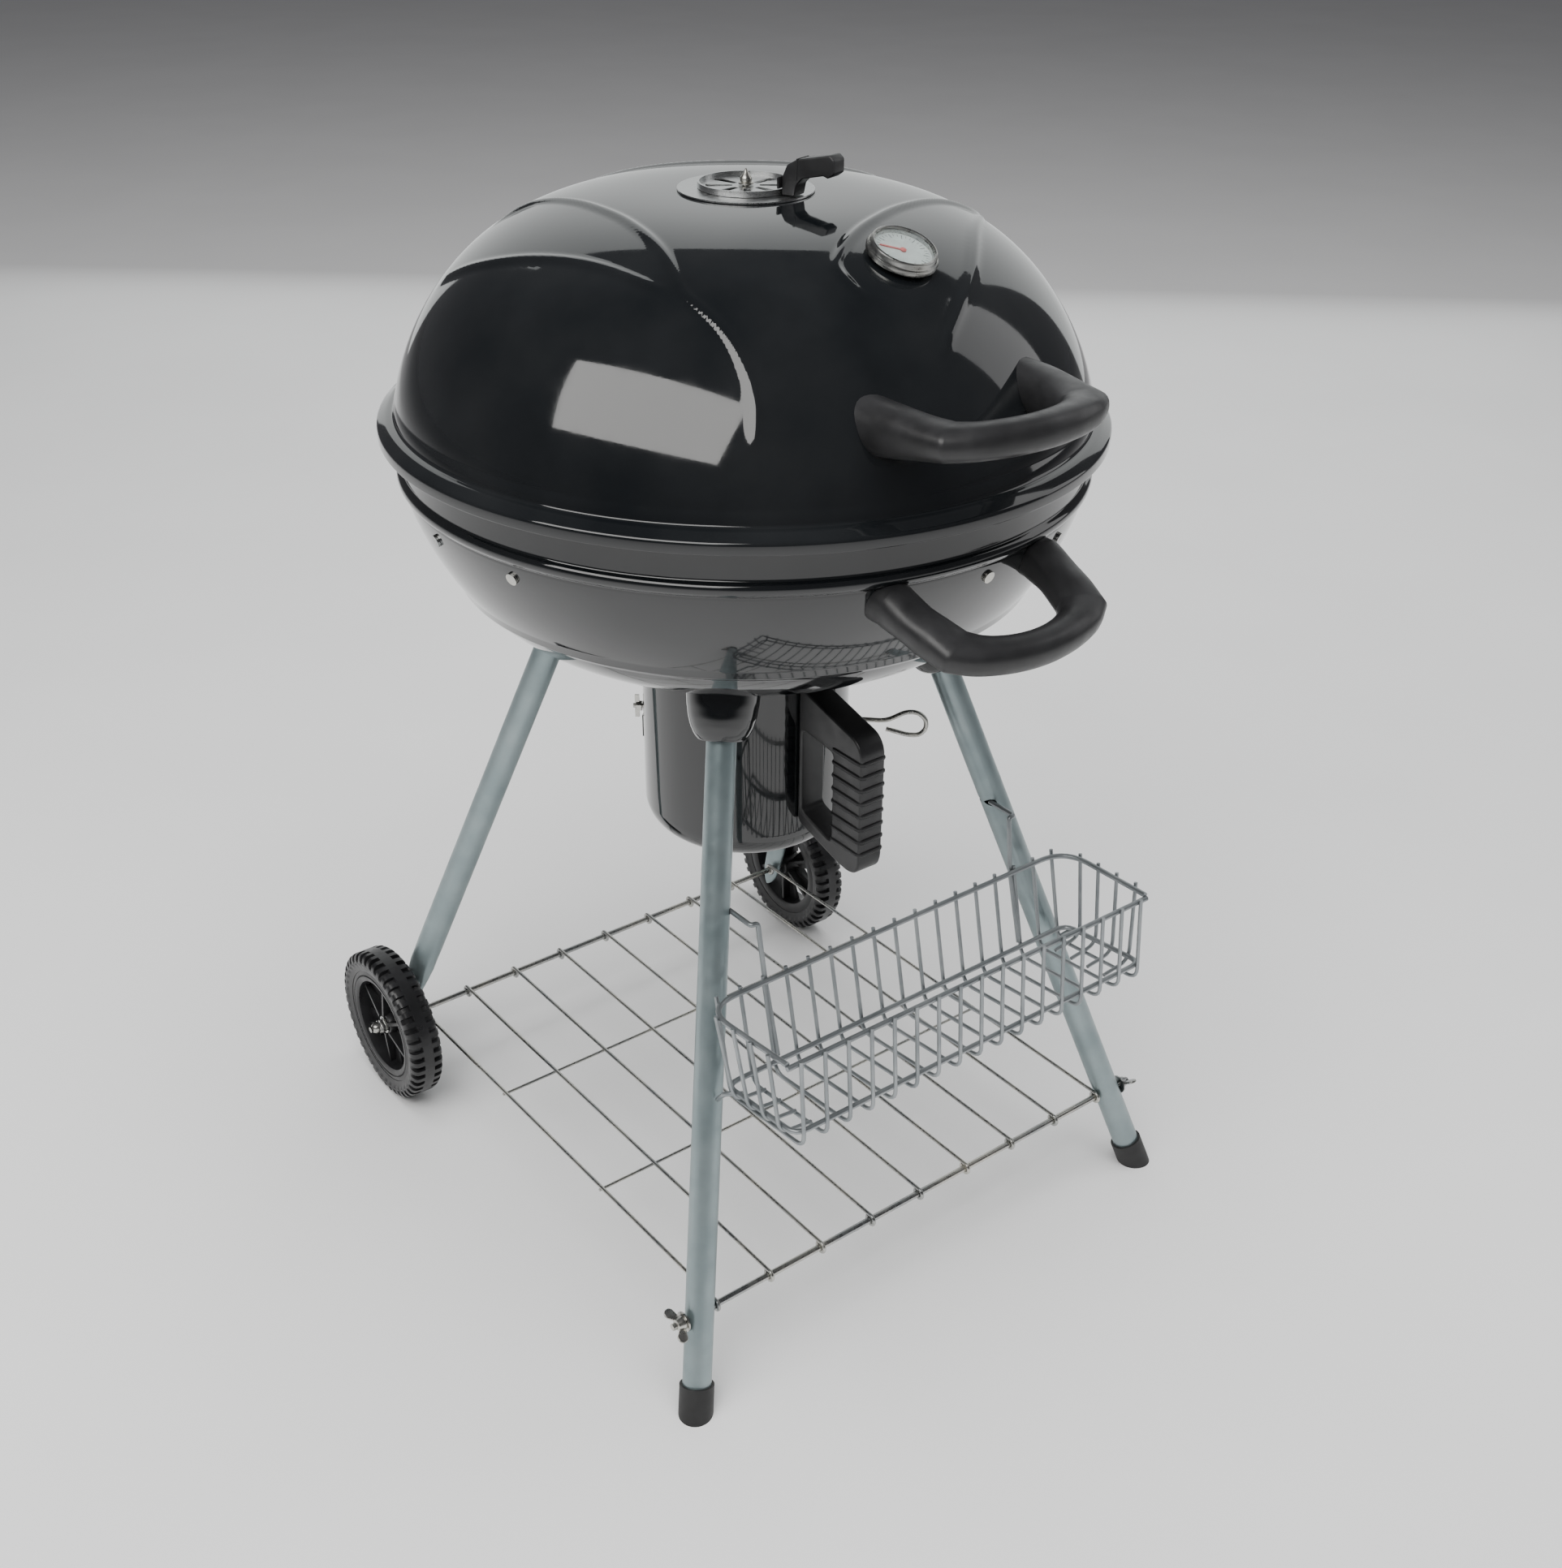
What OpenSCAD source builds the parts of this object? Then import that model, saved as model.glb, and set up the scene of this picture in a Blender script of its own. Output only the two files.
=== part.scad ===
// Kettle charcoal grill on four tube legs, with a wire shelf, a hang-on wire basket and an ash pot.
// Millimetres, +Z up, origin on the floor under the middle of the footprint, handles towards -Y.

/* [Kettle] */
// Height of the seam between lid and bowl
rim_z = 750; // [700:800]
// Radius of the bowl wall at the seam
bowl_r = 283.5; // [270:295]
// Outer radius of the lid skirt
skirt_r = 300; // [290:305]
// Height of the dome above its base
dome_h = 164; // [140:180]
// Sheet thickness of lid, bowl and pot
sheet = 1.5; // [1:0.1:2]

/* [Legs] */
// Radius of a leg tube
leg_r = 12.5; // [10:15]
// Half distance between the feet, left to right
foot_x = 268; // [240:290]
// Half distance between the feet, front to back
foot_y = 289; // [260:300]
// Inward run per unit of height, left to right
lean_x = 0.2805; // [0.2:0.01:0.35]
// Inward run per unit of height, front to back
lean_y = 0.305; // [0.2:0.01:0.35]
// Height of the top end of a leg
leg_top = 545; // [500:560]

/* [Wheels] */
// Wheel radius
wheel_r = 79; // [70:90]
// Wheel width over the tyre
wheel_w = 34; // [28:45]
// Outer face of a wheel from the middle
wheel_x = 276; // [270:285]
// Axle and front rod radius
rod_r = 3; // [2.5:0.5:5]
// Axle distance behind the kettle's centre
axle_y = 260; // [240:280]

/* [Shelf and basket] */
// Spacing of the long shelf wires
wire_pitch = 57.1; // [50:65]
// Shelf wire radius
wire_r = 1.8; // [1.5:0.1:2.5]
// Front rod distance in front of the kettle's centre
rod_y = 264; // [250:270]
// Half length of the basket
basket_l = 200; // [180:220]
// Basket rim height
basket_z = 356; // [340:370]
// Basket depth, rim to floor wires
basket_h = 74; // [60:90]

/* [Pot] */
// Outer radius of the ash pot
pot_r = 92.5; // [85:100]
// Height of the pot floor
pot_z = 362; // [350:380]
// Height of the pot's open edge
pot_top = 556; // [540:560]
// Height of the damper rod
damper_z = 466; // [455:475]
// Direction of the damper rod, seen from above
damper_a = -44; // [-50:-40]

/* [Hidden] */
$fn = 64;
grip_out = 94;                 // reach of a D handle from its root
dome_z = rim_z + 12;           // base of the dome wall
bowl_z = 563.5;                // underside of the bowl
collar_z = pot_top - 4;        // lower edge of the collar, just inside the pot
flange_z = bowl_z + sheet + 0.9;   // collar flange, just above the bowl's floor
skirt_z = rim_z - 6;           // lower edge of the lid skirt
root_y = 278;                  // root of the bowl handle in front of the kettle's centre
bowl_tilt = 17.5;              // the bowl handle slopes down by this angle
grip_t = 26;                   // thickness of both D handles
front_y = root_y + grip_out * cos(bowl_tilt) + grip_t / 2 * sin(bowl_tilt);
ky = (front_y - (axle_y + wheel_r)) / 2;   // shifts the kettle so that the footprint is centred
axle_z = wheel_r;
apex_z = dome_z + dome_h;      // top of the dome
th_x = 12;                     // thermometer position on the dome
th_y = -172;
bracket_at = [185.5, 283.4, 5.5, 103.4];   // directions of the grate brackets
bead_z = 711.7;                // middle of the pressed bead round the bowl
bead_h = 5.7;                  // half height of the bead
needle_a = -128;               // cold position of the needle, from straight down the dome
rivet_r = 280.65;              // bowl radius at the bracket rivets
rivet_z = 693;
rivet_tilt = 16.6;             // the bowl wall's slope there
screw_x = 73.5;                // the two screws of a D handle, from its middle
leg_cut = 8;                   // height of the tube's end inside a foot cap
cup_z = 531;                   // lower edge of the leg sockets

steel = [0.55, 0.59, 0.60];
black = [0.05, 0.05, 0.06];
chrome = [0.75, 0.76, 0.78];

// ---------- shared shapes ----------
function dome_r(t, o) = 285 * pow(cos(t), 0.554) + o * cos(t);
function dome_y(t, o) = dome_z + dome_h * pow(sin(t), 1.391) + o * sin(t);
function bowl_pr(t, o) = bowl_r * pow(cos(t), 0.4) + o * cos(t);
function bowl_pz(t, o) = 704 - (704 - bowl_z) * pow(sin(t), 1.687) - o * sin(t);
// height of the dome's outer surface at radius r, by bisection on t
function dome_t(r, a = 0, b = 90, n = 24) = n == 0 ? (a + b) / 2
  : dome_r((a + b) / 2, 0) > r ? dome_t(r, (a + b) / 2, b, n - 1) : dome_t(r, a, (a + b) / 2, n - 1);
function dome_at(r) = dome_y(dome_t(r), 0);
steps = [0, 8, 15, 22, 29, 36, 43, 49, 55, 61, 66, 71, 76, 80, 84, 87];

module at_kettle() translate([0, ky, 0]) children();
// a straight wire between two points
module wire(p, q, r, n = 8) {
  d = q - p; l = norm(d);
  translate(p) rotate([0, acos(d[2] / l), atan2(d[1], d[0])]) rotate(180 / n) cylinder(r = r, h = l, $fn = n);
}
// solid inside the bowl's outer surface, grown by o
module bowl_solid(o) rotate_extrude() polygon(concat([[0, rim_z + 3], [bowl_r + o, rim_z + 3],
  [bowl_r + o, bead_z + bead_h + o], [bowl_r + 4.5 + 1.5 * o, bead_z], [bowl_r + o, bead_z - bead_h - o]],
  [for (t = steps) [bowl_pr(t, o), bowl_pz(t, o)]], [[0, bowl_z - o]]));
module dome_solid(o) rotate_extrude() polygon(concat([[0, dome_z - 12], [285 + o, dome_z - 12]],
  [for (t = steps) [dome_r(t, o), dome_y(t, o)]], [[0, dome_z + dome_h + o]]));

// leg axis frame: origin on the floor, +Z up the leg
function leg_len(z) = z * norm([lean_x, lean_y, 1]);
module leg_frame(sx, sy) at_kettle() translate([sx * foot_x, sy * foot_y, 0])
  rotate([0, acos(1 / norm([lean_x, lean_y, 1])), atan2(-sy * lean_y, -sx * lean_x)]) children();
function leg_pt(sx, sy, z) = [sx * (foot_x - lean_x * z), sy * (foot_y - lean_y * z), z];

// D handle in its own plane: root at y = 0, reach along -Y, thickness centred on Z
module d_handle() difference() {
  translate([0, 0, -grip_t / 2]) linear_extrude(grip_t) difference() {
    intersection() {
      polygon([[-90, 14], [-90, -20], [-80, -66], [-70, -100],
        [70, -100], [80, -66], [90, -20], [90, 14]]);
      translate([0, 148 - grip_out]) circle(r = 148);
    }
    intersection() {
      polygon([[-57, 40], [-57, -8], [-46, -52], [-40, -80],
        [40, -80], [46, -52], [57, -8], [57, 40]]);
      translate([0, 92 - grip_out + 27]) circle(r = 92);
      translate([-60, -90]) square([120, 200]);
    }
    translate([-57, -8]) square([114, 60]);
  }
  for (s = [-1, 1]) translate([s * screw_x, 30, 0]) rotate([90, 0, 0]) cylinder(r = 2.6, h = 66);
}

// ---------- lid ----------
module lid_shell() color(black) at_kettle() difference() {
  rotate_extrude() polygon(concat(
    [[skirt_r - sheet, skirt_z], [skirt_r, skirt_z], [skirt_r, rim_z + 2.6], [skirt_r - 1.5, rim_z + 3.6],
     [291, rim_z + 8.5], [288, rim_z + 9.2]],
    [for (t = steps) [dome_r(t, 0), dome_y(t, 0)]],
    [[0, apex_z], [0, apex_z - sheet]],
    [for (i = [len(steps) - 1:-1:0]) [dome_r(steps[i], -sheet), dome_y(steps[i], -sheet)]],
    [[285 - sheet, rim_z + 7], [290, rim_z + 6.6], [skirt_r - sheet, rim_z + 2]]));
  vent_slots(apex_z - 8, 16);
  translate([0, 0, apex_z - 8]) cylinder(r = 3.1, h = 16);
  on_dome() translate([0, 0, -20]) cylinder(r = 5.2, h = 40);
  lid_handle_frame() screw_holes();
}
// holes through a wall for the two screws of a D handle
module screw_holes() for (s = [-1, 1]) translate([s * screw_x, 40, 0]) rotate([90, 0, 0])
  cylinder(r = 2.6, h = 66);
// the eight wedge-shaped slots of the vent, turned by a
module vent_slots(z, h, a = 0) for (i = [0:7]) rotate(i * 45 + a) translate([0, 0, z]) linear_extrude(h)
  polygon([for (p = [[11, -11], [32, -8], [32, 8], [11, 11]]) p[0] * [cos(p[1]), sin(p[1])]]);
module lid_handle_frame() translate([0, -258, rim_z + 70]) rotate([-4, 0, 0]) children();
module lid_handle() color(black) at_kettle() difference() {
  lid_handle_frame() d_handle();
  dome_solid(0.15);
}
module lid_handle_screws() color(chrome) at_kettle() lid_handle_frame()
  for (s = [-1, 1]) translate([s * screw_x, 0, 0]) rotate([90, 0, 0]) {
    translate([0, 0, -8]) cylinder(r = 2.4, h = 32);
    translate([0, 0, -11.6]) cylinder(r = 6, h = 4);
  }
module vent_plate() color(steel) at_kettle() difference() {
  translate([0, 0, apex_z + 0.2]) cylinder(r = 54, h = 1.2);
  vent_slots(apex_z - 2, 8);
  translate([0, 0, apex_z - 2]) cylinder(r = 3.1, h = 8);
}
module vent_disc() color(chrome) at_kettle() translate([0, 0, apex_z + 1.8]) difference() {
  cylinder(r = 38, h = 4.5);
  translate([0, 0, 1.2]) cylinder(r = 36.4, h = 6);
  translate([0, 0, -1]) cylinder(r = 3.06, h = 4);
  vent_slots(-2, 8, 11.25);
}
module vent_tab() color(black) at_kettle() rotate(-72) translate([0, 0, apex_z + 1.8]) {
  translate([38.2, -7, 0]) cube([9, 14, 26]);
  translate([40, -7.5, 14]) rotate([0, -8, 0]) translate([0, 0, 2]) cube([46, 15, 13]);
}
module vent_pin() color(chrome) at_kettle() translate([0, 0, apex_z]) {
  translate([0, 0, -9]) cylinder(r = 2.98, h = 13.4);
  translate([0, 0, 4.4]) cylinder(r = 5, h = 3, $fn = 6);
  translate([0, 0, 7.4]) cylinder(r1 = 3.6, r2 = 0.6, h = 4.6);
  translate([0, 0, -8]) cylinder(r = 6, h = 4, $fn = 6);
}
// frame on the dome surface at the thermometer, +Z outward
module on_dome() {
  r = norm([th_x, th_y]);
  slope = (dome_at(r + 3) - dome_at(r - 3)) / 6;
  translate([th_x, th_y, dome_at(r)]) rotate([0, atan(-slope), atan2(th_y, th_x)]) children();
}
module thermometer_case() color(chrome) at_kettle() on_dome() difference() {
  union() {
    translate([0, 0, 2]) cylinder(r = 27, h = 9);
    translate([0, 0, -34]) cylinder(r = 4.5, h = 37);
  }
  translate([0, 0, 4]) cylinder(r = 24, h = 9);
}
module thermometer_dial() color([0.85, 0.86, 0.84]) at_kettle() on_dome() difference() {
  translate([0, 0, 4.1]) cylinder(r = 23.8, h = 0.8);
  translate([0, 0, 3]) cylinder(r = 1.1, h = 4);
}
module thermometer_needle() color([0.8, 0.1, 0.1]) at_kettle() on_dome() rotate(needle_a) {
  translate([0, 0, 5.4]) cylinder(r = 2.4, h = 1);
  translate([0, -0.7, 5.4]) cube([18, 1.4, 0.8]);
  translate([0, 0, 4.3]) cylinder(r = 1.04, h = 1.6);
}
module thermometer_glass() color([0.8, 0.85, 0.88, 0.35]) at_kettle() on_dome()
  translate([0, 0, 8]) cylinder(r = 23.9, h = 1.6);
module thermometer_nut() color(chrome) at_kettle() on_dome() difference() {
  translate([0, 0, -9]) cylinder(r = 9, h = 4, $fn = 6);
  translate([0, 0, -12]) cylinder(r = 4.55, h = 12);
}

// ---------- bowl ----------
module bowl_shell() color(black) at_kettle() difference() {
  rotate_extrude() polygon(concat(
    [[bowl_r, rim_z + 2.4], [289.5, rim_z + 2.4], [291, rim_z + 4], [289.5, rim_z + 6],
     [bowl_r - sheet, rim_z + 6]],
    [[bowl_r - sheet, bead_z + bead_h - 0.4], [bowl_r - sheet + 4, bead_z],
     [bowl_r - sheet, bead_z - bead_h + 0.4]],
    [for (t = steps) [bowl_pr(t, -sheet), bowl_pz(t, -sheet)]],
    [[0, bowl_z + sheet], [0, bowl_z]],
    [for (i = [len(steps) - 1:-1:0]) [bowl_pr(steps[i], 0), bowl_pz(steps[i], 0)]],
    [[bowl_r, bead_z - bead_h], [bowl_r + 4.5, bead_z], [bowl_r, bead_z + bead_h]]));
  translate([0, 0, bowl_z - 5]) cylinder(r = 88.1, h = 12);
  bowl_handle_frame() screw_holes();
  rivet_frames() translate([0, 0, -8]) cylinder(r = 2.6, h = 16);
  socket_screw_frames() translate([0, 0, 559]) cylinder(r = 2.6, h = 30);
}
module bowl_handle_frame() translate([0, -root_y, 692]) rotate([bowl_tilt, 0, 0]) children();
module bowl_handle() color(black) at_kettle() difference() {
  bowl_handle_frame() d_handle();
  bowl_solid(0.15);
}
module bowl_handle_screws() color(chrome) at_kettle() bowl_handle_frame()
  for (s = [-1, 1]) translate([s * screw_x, 0, 0]) rotate([90, 0, 0]) {
    translate([0, 0, -13]) cylinder(r = 2.4, h = 37);
    translate([0, 0, -16]) cylinder(r = 6, h = 4);
  }
module ash_collar() color(black) at_kettle() difference() {
  union() {
    translate([0, 0, collar_z]) cylinder(r = 88, h = flange_z + 1.4 - collar_z);
    translate([0, 0, flange_z]) cylinder(r = 96, h = 1.4);
  }
  translate([0, 0, collar_z - 5]) cylinder(r = 86.6, h = 30);
}
module rivet_frames() for (a = bracket_at, s = [-10, 10]) rotate(a + s)
  translate([rivet_r, 0, rivet_z]) rotate([0, 90 + rivet_tilt, 0]) children();
// bent strips inside the bowl that carry both grates
module grate_brackets() color(steel) at_kettle() difference() {
  for (a = bracket_at) rotate(a - 12) translate([0, 0, 684]) rotate_extrude(angle = 24) {
    translate([bowl_r - 9.7, 0]) square([2, 22]);
    translate([bowl_r - 29.7, 20]) square([22, 2]);
  }
  rivet_frames() translate([0, 0, -12]) cylinder(r = 2.5, h = 12);
  // room for the bowl handle's screw head
  bowl_handle_frame() translate([screw_x, 0, 0]) rotate([90, 0, 0])
    translate([0, 0, -17]) cylinder(r = 7, h = 17);
}
module bracket_rivets() color(chrome) at_kettle() rivet_frames() {
  translate([0, 0, -7]) cylinder(r = 2.4, h = 8);
  translate([0, 0, 0.15]) cylinder(r = 5, h = 2);
}
// parallel bars inside a ring, on two cross bars
module grate(r, z, pitch, n, bar) {
  for (i = [-n:n]) {
    h = sqrt(pow(r - 1, 2) - pow(i * pitch, 2));
    wire([i * pitch, -h, z], [i * pitch, h, z], bar, 6);
  }
  for (y = [-0.5, 0.5]) wire([-sqrt(3) / 2 * (r - 1), y * r, z - bar * 1.7],
    [sqrt(3) / 2 * (r - 1), y * r, z - bar * 1.7], bar + 0.6, 6);
}
module cooking_grate() color(chrome) at_kettle() {
  grate(270, 709, 20, 12, 2);
  difference() {
    translate([0, 0, 706.5]) cylinder(r = 272, h = 5);
    translate([0, 0, 700]) cylinder(r = 267, h = 20);
  }
}
module charcoal_grate() color(steel) at_kettle() {
  grate(216, 606, 24, 8, 3);
  difference() {
    translate([0, 0, 602.5]) cylinder(r = 218, h = 6);
    translate([0, 0, 598]) cylinder(r = 212, h = 20);
  }
}

// ---------- ash pot and damper ----------
module damper_frame() at_kettle() translate([0, 0, damper_z]) rotate(damper_a) children();
module damper_flap() color(steel) damper_frame() difference() {
  union() {
    translate([0, 0, 2.6]) cylinder(r = 84, h = 1.4);
    for (x = [-50, 50]) translate([x - 8, -5, -4]) cube([16, 10, 6.8]);
  }
  translate([-70, 0, 0]) rotate([0, 90, 0]) cylinder(r = 2.52, h = 140);
}
module damper_rod() color(chrome) damper_frame() {
  translate([-103, 0, 0]) rotate([0, 90, 0]) cylinder(r = 2.5, h = 231);
  translate([97, 0, 0]) rotate([0, 90, 0]) cylinder(r = 4.5, h = 5);
  wire([127, 0, 0], [145.2, 0, 9.5], 2.4, 12);
  translate([150, 0, -1]) rotate([90, 0, 0]) rotate(-130) rotate_extrude(angle = 250)
    translate([11.5, 0]) circle(r = 2.4, $fn = 12);
  wire([144.4, 0, -10.6], [126, 0, -6.5], 2.4, 12);
}
module damper_nut() color(chrome) damper_frame() difference() {
  union() {
    translate([-100, 0, 0]) rotate([0, 90, 0]) cylinder(r = 5, h = 5, $fn = 6);
    for (s = [-1, 1]) translate([-101.5, -1.2, s * 7 - 4]) cube([4, 2.4, 8]);
  }
  translate([-110, 0, 0]) rotate([0, 90, 0]) cylinder(r = 2.55, h = 20);
}
module ash_pot() color(black) at_kettle() difference() {
  rotate_extrude() polygon(concat([[pot_r - sheet, pot_top], [pot_r, pot_top], [pot_r, pot_z + 27]],
    [for (a = [15:15:90]) [pot_r - 25 + 25 * cos(a), pot_z + 27 - 27 * sin(a)]],
    [[0, pot_z], [0, pot_z + sheet]],
    [for (a = [90:-15:0]) [pot_r - 25 + (25 - sheet) * cos(a), pot_z + 27 - (27 - sheet) * sin(a)]]));
  translate([0, 0, damper_z]) rotate([0, 90, damper_a]) translate([0, 0, -120]) cylinder(r = 2.58, h = 240);
  for (z = [394, 504]) translate([0, 0, z]) rotate([90, 0, 0]) cylinder(r = 2.6, h = 120);
}
module pot_handle() color(black) at_kettle() difference() {
  union() {
    translate([-13, -178, 386]) cube([26, 84, 20]);
    translate([-13, -178, 492]) cube([26, 84, 22]);
    translate([-13, -178, 395]) cube([26, 34, 110]);
    for (i = [0:6]) translate([-14, -179.5, 408 + i * 12]) cube([28, 36, 6]);
  }
  cylinder(r = pot_r + 0.15, h = 700);
  for (z = [394, 504]) translate([0, -86, z]) rotate([90, 0, 0]) cylinder(r = 2.5, h = 34);
}
module pot_handle_rivets() color(chrome) at_kettle()
  for (z = [394, 504]) translate([0, -88.6, z]) rotate([90, 0, 0]) {
    cylinder(r = 2.4, h = 29.4);
    cylinder(r = 4.5, h = 2.2);
  }

// ---------- legs ----------
module leg_tube(sx, sy, z0) difference() {
  leg_frame(sx, sy) translate([0, 0, leg_len(z0)]) cylinder(r = leg_r, h = leg_len(leg_top - z0));
  leg_frame(sx, sy) translate([0, 0, leg_len(z0) - 2]) cylinder(r = leg_r - 1.2, h = leg_len(leg_top));
}
module front_leg(sx) difference() {
  leg_tube(sx, -1, leg_cut);
  at_kettle() translate([-300, -rod_y, axle_z + 3]) rotate([0, 90, 0]) cylinder(r = rod_r + 0.2, h = 600);
  // holes for the basket hooks
  at_kettle() for (x = [-146, 146]) translate([x, -150, 402]) rotate([90, 0, 0]) cylinder(r = 3.4, h = 60);
}
module front_left_leg() color(steel) front_leg(-1);
module front_right_leg() color(steel) front_leg(1);
// rear leg: tube with a flattened lower end that carries the axle
module rear_leg(sx) {
  difference() {
    union() {
      leg_tube(sx, 1, 138);
      leg_frame(sx, 1) translate([0, 0, leg_len(138)]) cylinder(r = leg_r, h = 14);
      at_kettle() translate([sx * (foot_x - lean_x * 116) - 2, foot_y - lean_y * 80 - 0.4, 80])
        rotate([atan(lean_y), 0, 0]) rotate([90, 0, 90]) linear_extrude(4)
        polygon([[-12, 66], [-13, 40], [-13, -8], [-6, -24], [0, -28],
          [6, -24], [13, -8], [13, 40], [12, 66]]);
    }
    at_kettle() translate([-300, axle_y, axle_z]) rotate([0, 90, 0]) cylinder(r = rod_r + 0.2, h = 600);
  }
}
module rear_left_leg() color(steel) rear_leg(-1);
module rear_right_leg() color(steel) rear_leg(1);
// pressed cups that join the legs to the bowl
module leg_sockets() color(black) difference() {
  for (sx = [-1, 1], sy = [-1, 1]) leg_frame(sx, sy) translate([0, 0, leg_len(cup_z)]) rotate_extrude()
    polygon([[leg_r + 0.15, 0], [19, 0], [24, 10], [28.5, 26], [31, 60],
      [29, 60], [26.5, 27], [22, 12], [leg_r + 0.15, 8]]);
  at_kettle() bowl_solid(0.15);
}
// places children on the floor below each socket screw
module socket_screw_frames() for (sx = [-1, 1], sy = [-1, 1])
  translate([sx * (foot_x - lean_x * (leg_top + 20)), sy * (foot_y - lean_y * (leg_top + 20)), 0]) children();
module socket_screws() color(chrome) at_kettle() socket_screw_frames() {
  translate([0, 0, 552]) cylinder(r = 2.4, h = 22);
  translate([0, 0, 573.6]) cylinder(r = 5, h = 3);
}
module foot_caps() color(black) for (sx = [-1, 1]) difference() {
  leg_frame(sx, -1) rotate(17) translate([0, 0, -12]) cylinder(r = 15, h = 38);
  leg_frame(sx, -1) rotate(17) translate([0, 0, leg_len(leg_cut) - 0.6]) cylinder(r = leg_r + 0.1, h = 60);
  translate([-400, -400, -50]) cube([800, 800, 50]);
}

// ---------- wheels ----------
module axle() color(chrome) at_kettle() translate([-284, axle_y, axle_z]) rotate([0, 90, 0])
  cylinder(r = rod_r, h = 568);
// frame on the axle at a wheel's inner face, +Z outwards
module wheel_frame(s) at_kettle() translate([s * (wheel_x - wheel_w), axle_y, axle_z])
  rotate([0, s * 90, 0]) children();
// section of the tyre: radius, then distance out from the inner face
module tyre() rotate_extrude() polygon([[60, 3], [68, 0], [75, 1.5], [wheel_r - 1, 7], [wheel_r, 14],
  [wheel_r, wheel_w - 14], [wheel_r - 1, wheel_w - 7], [75, wheel_w - 1.5], [68, wheel_w],
  [60, wheel_w - 3]]);
module hub() difference() {
  union() {
    rotate_extrude() polygon([[52, 2], [59.9, 3], [59.9, wheel_w - 3], [52, wheel_w - 2]]);
    translate([0, 0, 13]) cylinder(r = 53, h = 4);
    cylinder(r = 12, h = 25);
    for (i = [0:5]) rotate(i * 60) translate([8, -2, 6]) cube([46, 4, 18]);
  }
  translate([0, 0, -5]) cylinder(r = rod_r + 0.06, h = 60);
  for (i = [0:5]) rotate(i * 60 + 30) linear_extrude(40)
    polygon([[20, -6], [44, -15], [46, 0], [44, 15], [20, 6]]);
}
module left_tyre() color(black) wheel_frame(-1) tyre();
module left_hub() color(black) wheel_frame(-1) hub();
module right_tyre() color(black) wheel_frame(1) tyre();
module right_hub() color(black) wheel_frame(1) hub();
module hub_nuts() color(chrome) for (s = [-1, 1]) wheel_frame(s) difference() {
  union() {
    translate([0, 0, 26.6]) cylinder(r = 7, h = 6, $fn = 6);
    translate([0, 0, 32.6]) cylinder(r1 = 6, r2 = 3.4, h = 8);
  }
  cylinder(r = rod_r + 0.05, h = 42);
}
module axle_washers() color(chrome) for (s = [-1, 1]) wheel_frame(s) difference() {
  translate([0, 0, 25.4]) cylinder(r = 9, h = 1.1);
  cylinder(r = rod_r + 0.1, h = 60);
}

// ---------- shelf ----------
module ring_on(x, y, z, w) translate([x - w / 2, y, z]) rotate([0, 90, 0]) difference() {
  cylinder(r = rod_r + 3, h = w, $fn = 12);
  translate([0, 0, -1]) cylinder(r = rod_r + 0.1, h = w + 2);
}
module shelf() color(chrome) at_kettle() {
  for (i = [-4:4]) {
    wire([i * wire_pitch, -rod_y + rod_r + 1.6, axle_z + 3],
      [i * wire_pitch, axle_y - rod_r - 1.6, axle_z], wire_r);
    ring_on(i * wire_pitch, -rod_y, axle_z + 3, 3.4);
    ring_on(i * wire_pitch, axle_y, axle_z, 3.4);
  }
  for (y = [-86, 86]) {
    z = axle_z + 3 * (axle_y - y) / (axle_y + rod_y) - 2.9;
    wire([-4 * wire_pitch - 2, y, z], [4 * wire_pitch + 2, y, z], wire_r);
  }
}
module front_rod() color(chrome) at_kettle() translate([-273, -rod_y, axle_z + 3]) rotate([0, 90, 0])
  cylinder(r = rod_r, h = 546);
// frame on the front rod at distance x from the middle, +Z outwards
module rod_frame(s, x) at_kettle() translate([s * x, -rod_y, axle_z + 3]) rotate([0, s * 90, 0]) children();
module wing_nuts() color(chrome) for (s = [-1, 1]) rod_frame(s, 262) difference() {
  union() {
    cylinder(r = 6, h = 7);
    for (a = [60, 240]) rotate(a) translate([4, -1.5, 2]) cube([12, 3, 10]);
  }
  translate([0, 0, -1]) cylinder(r = rod_r + 0.05, h = 20);
}
module rod_washers() color(chrome) for (s = [-1, 1]) rod_frame(s, 260.4) difference() {
  cylinder(r = 9, h = 1.4);
  translate([0, 0, -1]) cylinder(r = rod_r + 0.1, h = 5);
}

// ---------- basket ----------
by0 = -216;                    // back rim wire
by1 = -320;                    // front rim wire
// section of the tray, grown inwards by o
function tray(o) = [[by0 - o, basket_z], [by0 - 16 - o, basket_z - basket_h - 12],
  [by1 - 2 + o, basket_z - basket_h - 12], [by1 + o, basket_z]];
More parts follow.
